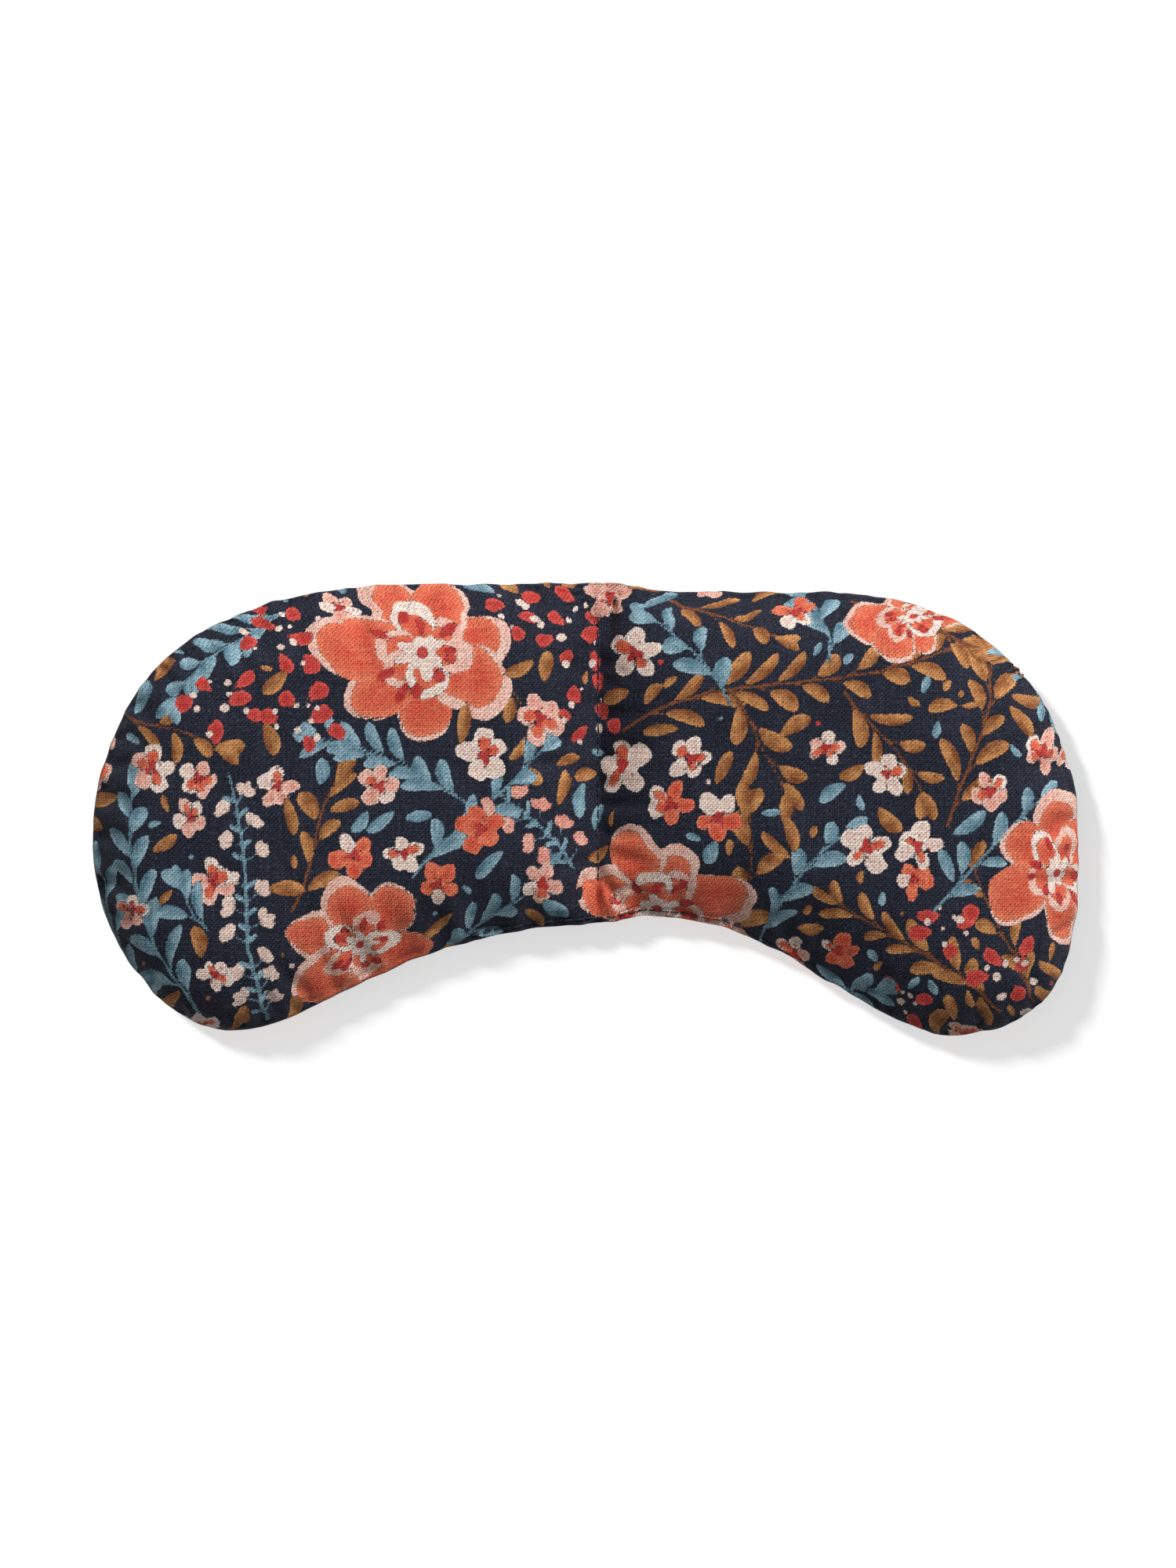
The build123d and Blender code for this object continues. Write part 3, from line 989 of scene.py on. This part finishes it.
# %% [markdown]
# ## Shader maths as sentences
#
# Materials are easier to read as expressions than as wires. A Wire wraps one socket, so that adding or
# multiplying two of them adds the Math node that does it. Every other node comes from one method.

# %% The wire and its board


def linear(red, green, blue):
    """A colour of the screen, 0 to 255, as the light that it stands for."""
    channels = [c / 255 for c in (red, green, blue)]
    return tuple(c / 12.92 if c <= 0.04045 else ((c + 0.055) / 1.055) ** 2.4 for c in channels) + (1.0,)


def add_node(tree, kind, settings=None, sockets=None):
    """Adds one node with its settings, and the value or the link of each socket. It returns the outputs."""
    made = tree.nodes.new(kind)
    for name, value in (settings or {}).items():
        setattr(made, name, value)
    for key, value in (sockets or {}).items():
        if isinstance(value, bpy.types.NodeSocket):
            tree.links.new(value, made.inputs[key])
        else:
            made.inputs[key].default_value = value
    return made.outputs


class Wire:
    """A node's output that can be used in arithmetic."""

    def __init__(self, board, socket):
        self.board = board
        self.socket = socket

    def maths(self, operation, *values, **settings):
        sockets = dict(enumerate(values))
        return self.board.node("ShaderNodeMath", {"operation": operation, **settings}, sockets)

    def __add__(self, other):
        return self.maths("ADD", self, other)

    def __sub__(self, other):
        return self.maths("SUBTRACT", self, other)

    def __rsub__(self, other):
        return self.maths("SUBTRACT", other, self)

    def __mul__(self, other):
        return self.maths("MULTIPLY", self, other)

    def __pow__(self, other):
        return self.maths("POWER", self, other)

    __radd__ = __add__
    __rmul__ = __mul__

    def sin(self):
        return self.maths("SINE", self)

    def size(self):
        return self.maths("ABSOLUTE", self)

    def sign(self):
        return self.maths("SIGN", self)

    def larger(self, other):
        return self.maths("MAXIMUM", self, other)

    def share(self):
        """Held between 0 and 1."""
        return self.maths("ADD", self, 0.0, use_clamp=True)


class Board:
    """The nodes of one material."""

    def __init__(self, name):
        self.material = bpy.data.materials.new(name)
        self.material.use_nodes = True
        self.tree = self.material.node_tree
        self.tree.nodes.clear()

    def node(self, kind, settings=None, sockets=None, out=0):
        sockets = {key: getattr(value, "socket", value) for key, value in (sockets or {}).items()}
        outputs = add_node(self.tree, kind, settings, sockets)
        return Wire(self, outputs[out]) if outputs else None

    def mix(self, share, first, second, blend="MIX"):
        sockets = {0: share, 6: first, 7: second}
        return self.node("ShaderNodeMix", {"data_type": "RGBA", "blend_type": blend}, sockets, 2)

    def stretched(self, place, x, y, z=1.0):
        return self.node("ShaderNodeVectorMath", {"operation": "MULTIPLY"}, {0: place, 1: (x, y, z)})

    def noise(self, place, scale, detail=2.0, roughness=0.5):
        sockets = {"Vector": place, "Scale": scale, "Detail": detail, "Roughness": roughness}
        return self.node("ShaderNodeTexNoise", {"noise_dimensions": "3D"}, sockets)

    def bump(self, height, distance, strength=1.0):
        sockets = {"Height": height, "Distance": distance, "Strength": strength}
        return self.node("ShaderNodeBump", {}, sockets)

    def finish(self, color, roughness, normal, sheen=0.0, specular=0.5, sheen_roughness=0.5):
        sockets = {
            "Base Color": color,
            "Roughness": roughness,
            "Normal": normal,
            "Sheen Weight": sheen,
            "Sheen Roughness": sheen_roughness,
            "Specular IOR Level": specular,
        }
        shader = self.node("ShaderNodeBsdfPrincipled", {}, sockets)
        self.node("ShaderNodeOutputMaterial", {}, {"Surface": shader})
        return self.material


print("shader maths ready")

# %% [markdown]
# ## Printed canvas
#
# The ground is plain-woven linen: every yarn goes over one and under the next, and no yarn is quite even.
# Two sine waves over the flat cloth make the weave, and slubs, mottling and flecks break it up. The weave is
# also painted into the colour as light and shade: painted shade in the gaps between the yarns, and a slanting
# painted highlight along their twist. The ink sits on the tops of the yarns, so the weave breaks its edge. It
# also fills the weave, so the weave and its painted shade show less there. Pale lint catches on the dark
# ground.

# %% Weave and print the canvas
yarn = 0.5  # the width of one yarn, in millimetres
waver_width = 0.55  # how far a yarn strays from its line
ink_edge = 4.5  # the higher, the crisper the edge of the ink
# The deep and the light colour of each ink.
ink_colors = {
    "coral": ((214, 72, 54), (236, 130, 96)),
    "pink": ((232, 152, 134), (248, 206, 190)),
    "cream": ((234, 202, 188), (250, 232, 220)),
    "red": ((186, 48, 46), (224, 92, 82)),
    "ochre": ((132, 74, 38), (212, 150, 92)),
    "brown": ((112, 62, 34), (158, 96, 54)),
    "blue": ((84, 124, 142), (158, 190, 202)),
}


def canvas_material():
    board = Board("printed_canvas")
    uv = board.node("ShaderNodeUVMap", {"uv_map": "cut"})
    place = board.stretched(uv, cut_span, cut_span)
    across = board.node("ShaderNodeSeparateXYZ", {}, {0: place}, 0)
    upward = board.node("ShaderNodeSeparateXYZ", {}, {0: place}, 1)
    warp_waver = board.noise(board.stretched(place, 1.0, 0.12), 1.1, 2.0) - 0.5
    weft_waver = board.noise(board.stretched(place, 0.12, 1.0), 1.1, 2.0) - 0.5
    a = ((across + warp_waver * waver_width) * (math.pi / yarn)).sin()
    b = ((upward + weft_waver * waver_width) * (math.pi / yarn)).sin()
    warp = (a.size() ** 0.5) * (b * a.sign() * 0.5 + 0.5)
    weft = (b.size() ** 0.5) * (0.5 - a * b.sign() * 0.5)
    height = warp.larger(weft)
    slant = across + warp_waver * waver_width - upward - weft_waver * waver_width
    twist = (slant * (math.pi / yarn) + math.pi / 2).sin()
    slub_warp = board.noise(board.stretched(place, 2.0, 0.1), 1.0, 1.0)
    slub_weft = board.noise(board.stretched(place, 0.1, 2.0), 1.0, 1.0)
    slub = slub_warp * 0.5 + slub_weft * 0.5
    fleck = board.noise(place, 2.4, 3.0, 0.65)
    mottle = board.noise(place, 1.45, 2.0, 0.6)
    blotch = board.noise(board.stretched(place, 1.0, 0.5), 0.55, 2.0)
    cloud = board.noise(place, 0.09, 3.0)
    worn = (fleck - 0.5) * 0.34 + (height - 0.6) * 0.2 + (mottle - 0.5) * 0.5
    tint = board.node("ShaderNodeAttribute", {"attribute_name": "ink_tone"}, {}, 2)
    tint = (tint + (fleck - 0.5) * 0.5 + (blotch - 0.5) * 0.5).share()
    faded = (cloud * 1.2 - 0.1 + (slub - 0.5) * 0.8).share()
    color = board.mix(faded, linear(20, 24, 40), linear(42, 45, 61))
    covered = None
    for ink, (deep, light) in ink_colors.items():
        depth = board.node("ShaderNodeAttribute", {"attribute_name": "ink_" + ink}, {}, 2)
        mask = ((depth + worn) * ink_edge + 0.5).share()
        color = board.mix(mask, color, board.mix(tint, linear(*deep), linear(*light)))
        covered = mask if covered is None else covered.larger(mask)
    lint = ((board.noise(place, 1.35, 4.0, 0.75) - 0.53) * 5.0).share() * (1 - covered) * 0.24
    color = board.mix(lint, color, linear(134, 136, 150))
    # Painted shade and highlight of the weave: the colour is made darker in the gaps between the yarns
    # (height) and lighter along a slanting painted highlight (twist). Slubs, mottling and flecks add the
    # yarn's own uneven tone.
    uneven = (slub - 0.5) * 1.5 + (mottle - 0.5) * 2.4 + (fleck - 0.5) * 1.3
    shade = height * 0.8 + 0.44 + twist * 0.4 + uneven
    # Where ink covers the cloth, the painted weave shade and highlight are weaker.
    shade = (shade - 1) * (1 - covered * 0.42) + 1
    weave_shade_and_tone = board.node("ShaderNodeCombineColor", {}, {0: shade, 1: shade, 2: shade})
    color = board.mix(1.0, color, weave_shade_and_tone, "MULTIPLY")
    roughness = (0.9 - height * 0.1 - covered * 0.04 + (fleck - 0.5) * 0.1).share()
    relief = height + twist * 0.3 + (slub - 0.5) * 0.9 + (mottle - 0.5) * 0.6
    normal = board.bump(relief, 0.00013, 0.9)
    return board.finish(color, roughness, normal, 0.06, 0.25, 0.4)


canvas = canvas_material()
print("canvas nodes", len(canvas.node_tree.nodes))

# %% [markdown]
# ## Thread and seed
#
# The thread is dark polyester: two plies twisted together, with a faint gloss. The seed inside is smooth
# brown flax, which shows only if the cloth is taken away, but the pads would be empty without it.

# %% Twist the thread and scatter the seed


def thread_material():
    board = Board("navy_thread")
    place = board.node("ShaderNodeTexCoord", {}, {}, 3)
    sockets = {"Vector": place, "Scale": 900.0, "Distortion": 1.5, "Detail": 1.0}
    twist = board.node("ShaderNodeTexWave", {"bands_direction": "DIAGONAL"}, sockets, 1)
    fuzz = board.noise(place, 2500.0, 2.0)
    color = board.mix((twist * 0.7 + fuzz * 0.3).share(), linear(12, 14, 24), linear(44, 48, 66))
    normal = board.bump(twist + fuzz * 0.4, 0.00005, 0.8)
    return board.finish(color, 0.7 - twist * 0.15, normal, 0.1, 0.4)


def seed_material():
    board = Board("flax_seed")
    place = board.node("ShaderNodeTexCoord", {}, {}, 3)
    sockets = {"Vector": board.stretched(place, 1.0, 1.7, 1.4), "Scale": 330.0}
    gap = board.node("ShaderNodeTexVoronoi", {"feature": "F1"}, sockets, 0)
    cell = board.node("ShaderNodeTexVoronoi", {"feature": "F1"}, sockets, 1)
    pick = board.node("ShaderNodeSeparateColor", {}, {0: cell}, 0)
    color = board.mix(pick, linear(92, 52, 26), linear(158, 104, 58))
    # Painted shade: the colour goes dark towards the edge of each seed, in the gaps between the seeds.
    color = board.mix((gap * 1.2 - 0.3).share(), color, linear(40, 22, 12))
    normal = board.bump(1 - gap, 0.0008, 0.9)
    return board.finish(color, (0.3 + pick * 0.2).share(), normal, 0.0, 0.5)


thread = thread_material()
flax = seed_material()
for piece in (front_panel, back_panel):
    piece.data.materials.append(canvas)
print("thread nodes", len(thread.node_tree.nodes), "seed nodes", len(flax.node_tree.nodes))

# %% [markdown]
# ## The seed in each pad
#
# The seed fills the space between the panels. Each charge is a closed form a little inside the cloth, and it
# ends short of the quilted line, so the mask folds without bending the seed.

# %% Pour the seed
seed_room = 0.75  # between the outside of the cloth and the seed
seed_from_fold = 5.0
seed_rows_in = 2  # coarse rows and columns left free along the edge


def seed_charge(name, first, last):
    """The seed between two columns of the coarse grid."""
    rows, columns = slice(seed_rows_in, -seed_rows_in), slice(first, last)
    over = (front - surface_normals(front) * seed_room)[::finer, ::finer][rows, columns]
    under = (back + surface_normals(back) * seed_room)[::finer, ::finer][rows, columns]
    middle = (over[..., 2] + under[..., 2]) / 2
    over[..., 2] = np.maximum(over[..., 2], middle + 0.3)
    under[..., 2] = np.minimum(under[..., 2], middle - 0.3)
    under[..., :2] = over[..., :2]
    tall, wide = over.shape[:2]
    top_numbers = np.arange(tall * wide).reshape(tall, wide)
    base_numbers = top_numbers + tall * wide
    faces = two_skins(top_numbers, base_numbers)
    top_rim, base_rim = rim_of(top_numbers), rim_of(base_numbers)
    for k in range(len(top_rim)):
        ahead = (k + 1) % len(top_rim)
        faces.append((top_rim[k], base_rim[k], base_rim[ahead], top_rim[ahead]))
    piece = new_piece(name, np.vstack([over.reshape(-1, 3), under.reshape(-1, 3)]), faces)
    piece.data.materials.append(flax)
    return piece


seed_x = gx[::finer, ::finer][seed_rows_in:-seed_rows_in]
left_last = int(np.nonzero((seed_x < fold_x - seed_from_fold).all(0))[0].max()) + 1
right_first = int(np.nonzero((seed_x > fold_x + seed_from_fold).all(0))[0].min())
seed_left = seed_charge("seed_left", seed_rows_in, left_last)
seed_right = seed_charge("seed_right", right_first, coarse_across - 1)
print("seed up to column", left_last, "and from column", right_first)

# %% [markdown]
# ## Stitches
#
# A lockstitch shows as a row of short, even dashes of thread. Geometry Nodes lays them: it steps along a path
# on the cloth, puts one arched dash of thread on each step, turned along the path, and makes them real. The
# same tree sews the quilted line and the closing topstitch, on the front and on the back.

# %% The stitching tree
stitch_length, stitch_pitch, thread_width = 2.05, 2.5, 0.34


def stitching_tree():
    """Sews arched dashes of thread along a path."""
    tree = bpy.data.node_groups.new("stitching", "GeometryNodeTree")
    for name, kind in [
        ("Path", "NodeSocketGeometry"),
        ("Pitch", "NodeSocketFloat"),
        ("Stitch", "NodeSocketFloat"),
        ("Thread", "NodeSocketFloat"),
        ("Unevenness", "NodeSocketFloat"),
        ("Seed", "NodeSocketInt"),
        ("Finish", "NodeSocketMaterial"),
    ]:
        tree.interface.new_socket(name, in_out="INPUT", socket_type=kind)
    tree.interface.new_socket("Stitches", in_out="OUTPUT", socket_type="NodeSocketGeometry")

    def node(kind, sockets=None, out=0, **settings):
        outputs = add_node(tree, kind, settings, sockets)
        return outputs[out] if outputs else None

    def times(value, factor):
        kind = "ShaderNodeVectorMath" if isinstance(factor, tuple) else "ShaderNodeMath"
        return node(kind, {0: value, 1: factor}, operation="MULTIPLY")

    given = add_node(tree, "NodeGroupInput")
    buried = (1.0, 1.0, -0.9)  # the ends of a dash go as deep as its middle is high
    ahead = node("ShaderNodeCombineXYZ", {0: times(given["Stitch"], 0.5), 2: given["Thread"]})
    behind = times(ahead, (-1.0, 1.0, 1.0))
    low_ahead, low_behind = times(ahead, buried), times(behind, buried)
    curve = {0: 6, 1: low_behind, 2: behind, 3: ahead, 4: low_ahead}
    arch = node("GeometryNodeCurvePrimitiveBezierSegment", curve, mode="POSITION")
    around = {"Resolution": 6, "Radius": times(given["Thread"], 0.5)}
    ring = node("GeometryNodeCurvePrimitiveCircle", around, mode="RADIUS")
    dash = node("GeometryNodeCurveToMesh", {0: arch, 1: ring, "Fill Caps": True})
    steps = {"Curve": given["Path"], "Length": given["Pitch"]}
    stations = node("GeometryNodeResampleCurve", steps, mode="LENGTH")
    tangent = node("GeometryNodeInputTangent")
    facing = node("FunctionNodeAlignRotationToVector", {"Vector": tangent}, axis="X")
    most = given["Unevenness"]
    between = {2: times(most, -1.0), 3: most, "Seed": given["Seed"]}
    sway = node("FunctionNodeRandomValue", between, 1, data_type="FLOAT")
    leaning = node("FunctionNodeEulerToRotation", {0: node("ShaderNodeCombineXYZ", {2: sway})})
    turned_by = node("FunctionNodeRotateRotation", {0: facing, 1: leaning}, rotation_space="LOCAL")
    placed = {"Points": stations, "Instance": dash, "Rotation": turned_by}
    row = node("GeometryNodeInstanceOnPoints", placed)
    real = node("GeometryNodeRealizeInstances", {0: row})
    smooth = node("GeometryNodeSetShadeSmooth", {0: real})
    finished = node("GeometryNodeSetMaterial", {0: smooth, "Material": given["Finish"]})
    node("NodeGroupOutput", {0: finished})
    return tree


sewing = stitching_tree()
print("stitching tree with", len(sewing.nodes), "nodes")

# %% [markdown]
# ## Sewing the rows
#
# A row is sewn where the cloth is, so its path is dropped onto the finished panel. At each end of the closing
# topstitch the seam is sewn back on itself a few stitches, and the tails are cut close.

# %% Sew the rows
cloth_faces = grid_faces(np.arange(gx.size).reshape(gx.shape)).tolist()
cloth_tree = {
    side: BVHTree.FromPolygons([Vector(p) for p in points.reshape(-1, 3)], cloth_faces)
    for side, points in ((1, front), (-1, back))
}
clear_of_cloth = 40.0  # the ray that finds the cloth starts this far from the seam plane


def on_cloth(x, y, side):
    """The point of the front (side 1) or the back (side -1) over a place."""
    start = Vector((x, y, seam_z + clear_of_cloth * side))
    found = cloth_tree[side].ray_cast(start, Vector((0, 0, -side)), 2 * clear_of_cloth)[0]
    return (x, y, (found.z if found else seam_z) + side * thread_width * 0.22)


def row_mesh(name, paths, side, seed):
    """The stitches along these paths, as one plain mesh."""
    curve = bpy.data.curves.new(name + "_path", "CURVE")
    curve.dimensions = "3D"
    for path in paths:
        line = curve.splines.new("POLY")
        line.points.add(len(path) - 1)
        for point, (x, y) in zip(line.points, path):
            point.co = (*[value / MM for value in on_cloth(x, y, side)], 1)
    guide = add_object(name + "_path", curve)
    sewn = guide.modifiers.new("sewing", "NODES")
    sewn.node_group = sewing
    values = {
        "Pitch": stitch_pitch / MM,
        "Stitch": stitch_length / MM,
        "Thread": side * thread_width / MM,
        "Unevenness": 0.07,
        "Seed": seed,
        "Finish": thread,
    }
    for item in sewing.interface.items_tree:
        if item.name in values:
            sewn[item.identifier] = values[item.name]
    guide.update_tag()
    evaluated = guide.evaluated_get(bpy.context.evaluated_depsgraph_get())
    mesh = bpy.data.meshes.new_from_object(evaluated)
    guide.modifiers.clear()
    bpy.data.objects.remove(guide)
    mesh.name = name
    mesh.materials.pop(index=0)  # the path's own slot, which is empty
    face_outwards(mesh, merge_within=1e-7)
    return add_object(name, mesh)


nose_steps = 400  # outline steps to each side of the fold, more than the gap is long
evened_over = 9  # outline steps that the path is averaged over


def nose_row(inward, start_x, stop_x):
    """Places along the nose arch, this far in from the edge, between two distances across."""
    steps = np.arange(fold_low - nose_steps, fold_low + nose_steps) % outline_count
    points = outline[steps] - outward[steps] * inward
    points = points[(points[:, 0] > start_x) & (points[:, 0] < stop_x)]
    kernel = np.ones(evened_over) / evened_over
    return np.stack([np.convolve(points[:, k], kernel, "valid") for k in (0, 1)], 1)


sewn_back = 5.2  # the length that is sewn twice at each end
sewn_back_gap, sewn_past = 0.55, 0.4
line_step, line_sway = 0.8, 0.12
sewn_back_in = topstitch_in + sewn_back_gap
line_steps = range(int((stitch_high - stitch_low) / line_step) + 1)
line = [(fold_x + line_sway * math.sin(k * 1.7), stitch_high - k * line_step) for k in line_steps]
pieces = {}
for side, thread_name in ((1, "needle"), (-1, "bobbin")):
    closing = [
        nose_row(topstitch_in, gap_left, gap_right),
        nose_row(sewn_back_in, gap_left - sewn_past, gap_left + sewn_back),
        nose_row(sewn_back_in, gap_right - sewn_back, gap_right + sewn_past),
    ]
    for kind, paths, seed in (("quilting_", [line], 3), ("closing_", closing, 5)):
        pieces[kind + thread_name] = row_mesh(kind + thread_name, paths, side, seed)
print("sewn rows", {name: len(piece.data.polygons) for name, piece in pieces.items()})

# %% [markdown]
# ## Riding on the frame
#
# Each piece now takes the place of the solids that it stands for. The seed moves with its half of the mask.
# The panels and the stitches cross the fold, so they are left in place and ride with neither half.

# %% Ride and replace
bend_half = 4.5
bend_start, bend_stop = (((fold_x + way * bend_half) / MM, 0, seam_z / MM) for way in (-1, 1))
for piece, kind in ((front_panel, "front_panel"), (back_panel, "back_panel")):
    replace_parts(piece, kind + "_left", kind + "_right")
    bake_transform(piece)
for piece, half in ((seed_left, "left"), (seed_right, "right")):
    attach(piece, half + "_half")
    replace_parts(piece, "grain_fill_" + half)
for kind in ("needle", "bobbin"):
    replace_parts(pieces["quilting_" + kind], "centre_stitch_" + kind)
    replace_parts(pieces["closing_" + kind], f"nose_topstitch_{kind}_left", f"nose_topstitch_{kind}_right")
for piece in pieces.values():
    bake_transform(piece)
for half in ("left", "right"):
    hidden_seam = frame["nodes"]["edge_seam_thread_" + half]
    hidden_seam.data.materials.clear()
    hidden_seam.data.materials.append(thread)
print("pieces", 4 + len(pieces))

# %% [markdown]
# ## Floor, light and camera
#
# The mask lies on a white table. One soft light from the upper left casts the shadow, and one from the upper
# right models the cloth. Light linking lets each do its own work. The camera looks straight down.

# %% Set the stage
floor_half = 3.0  # metres
corners = [(x * floor_half, y * floor_half, 0) for x, y in ((-1, -1), (1, -1), (1, 1), (-1, 1))]
floor_mesh = bpy.data.meshes.new("table_top")
floor_mesh.from_pydata(corners, [], [(0, 1, 2, 3)])
floor = add_object("table_top", floor_mesh)


def table_material():
    board = Board("table_paint")
    place = board.node("ShaderNodeTexCoord", {}, {}, 3)
    grain = board.noise(place, 40.0, 3.0)
    color = board.mix(grain, linear(243, 243, 243), linear(247, 247, 247))
    normal = board.bump(grain, 0.00002, 0.3)
    material = board.finish(color, 0.9, normal, 0.0, 0.1)
    shader = [n for n in board.tree.nodes if n.type == "BSDF_PRINCIPLED"][0]
    shader.inputs["Emission Color"].default_value = (1, 1, 1, 1)
    shader.inputs["Emission Strength"].default_value = 0.565
    return material


floor_mesh.materials.append(table_material())
floor.visible_diffuse = False

world = bpy.data.worlds.new("studio")
world.use_nodes = True
world.node_tree.nodes["Background"].inputs["Color"].default_value = (1, 1, 1, 1)
world.node_tree.nodes["Background"].inputs["Strength"].default_value = 0.2
bpy.context.scene.world = world


def sun(name, towards, strength, softness, receivers):
    """A distant soft light that shines only on its receivers."""
    lamp = bpy.data.lights.new(name, "SUN")
    lamp.energy = strength
    lamp.angle = math.radians(softness)
    light = add_object(name, lamp)
    light.rotation_euler = Vector(towards).to_track_quat("-Z", "Y").to_euler()
    light.location = (-Vector(towards) * 0.5).to_tuple()
    lit = bpy.data.collections.new(name + "_lights")
    for piece in receivers:
        lit.objects.link(piece)
    light.light_linking.receiver_collection = lit


mask_pieces = [front_panel, back_panel, seed_left, seed_right, *pieces.values()]
sun("shadow_light", (1.15, -1.1, -1.0), 2.0, 9, [floor])
sun("form_light", (-0.6, -1.05, -0.92), 3.25, 18, mask_pieces)

view_high = 364.9  # millimetres of the table from the top of the view to its bottom
look_x, look_y = 0.46, 5.66  # the camera stands over this point
lens, sensor = 100.0, 36.0
camera_data = bpy.data.cameras.new("camera")
camera_data.lens = lens
camera_data.sensor_width = sensor
camera = add_object("camera", camera_data)
camera.location = (look_x / MM, look_y / MM, (view_high * lens / sensor + seam_z) / MM)
bpy.context.scene.camera = camera
bpy.context.scene.view_settings.view_transform = "Standard"
print("camera", round(camera.location.z, 3), "m up")
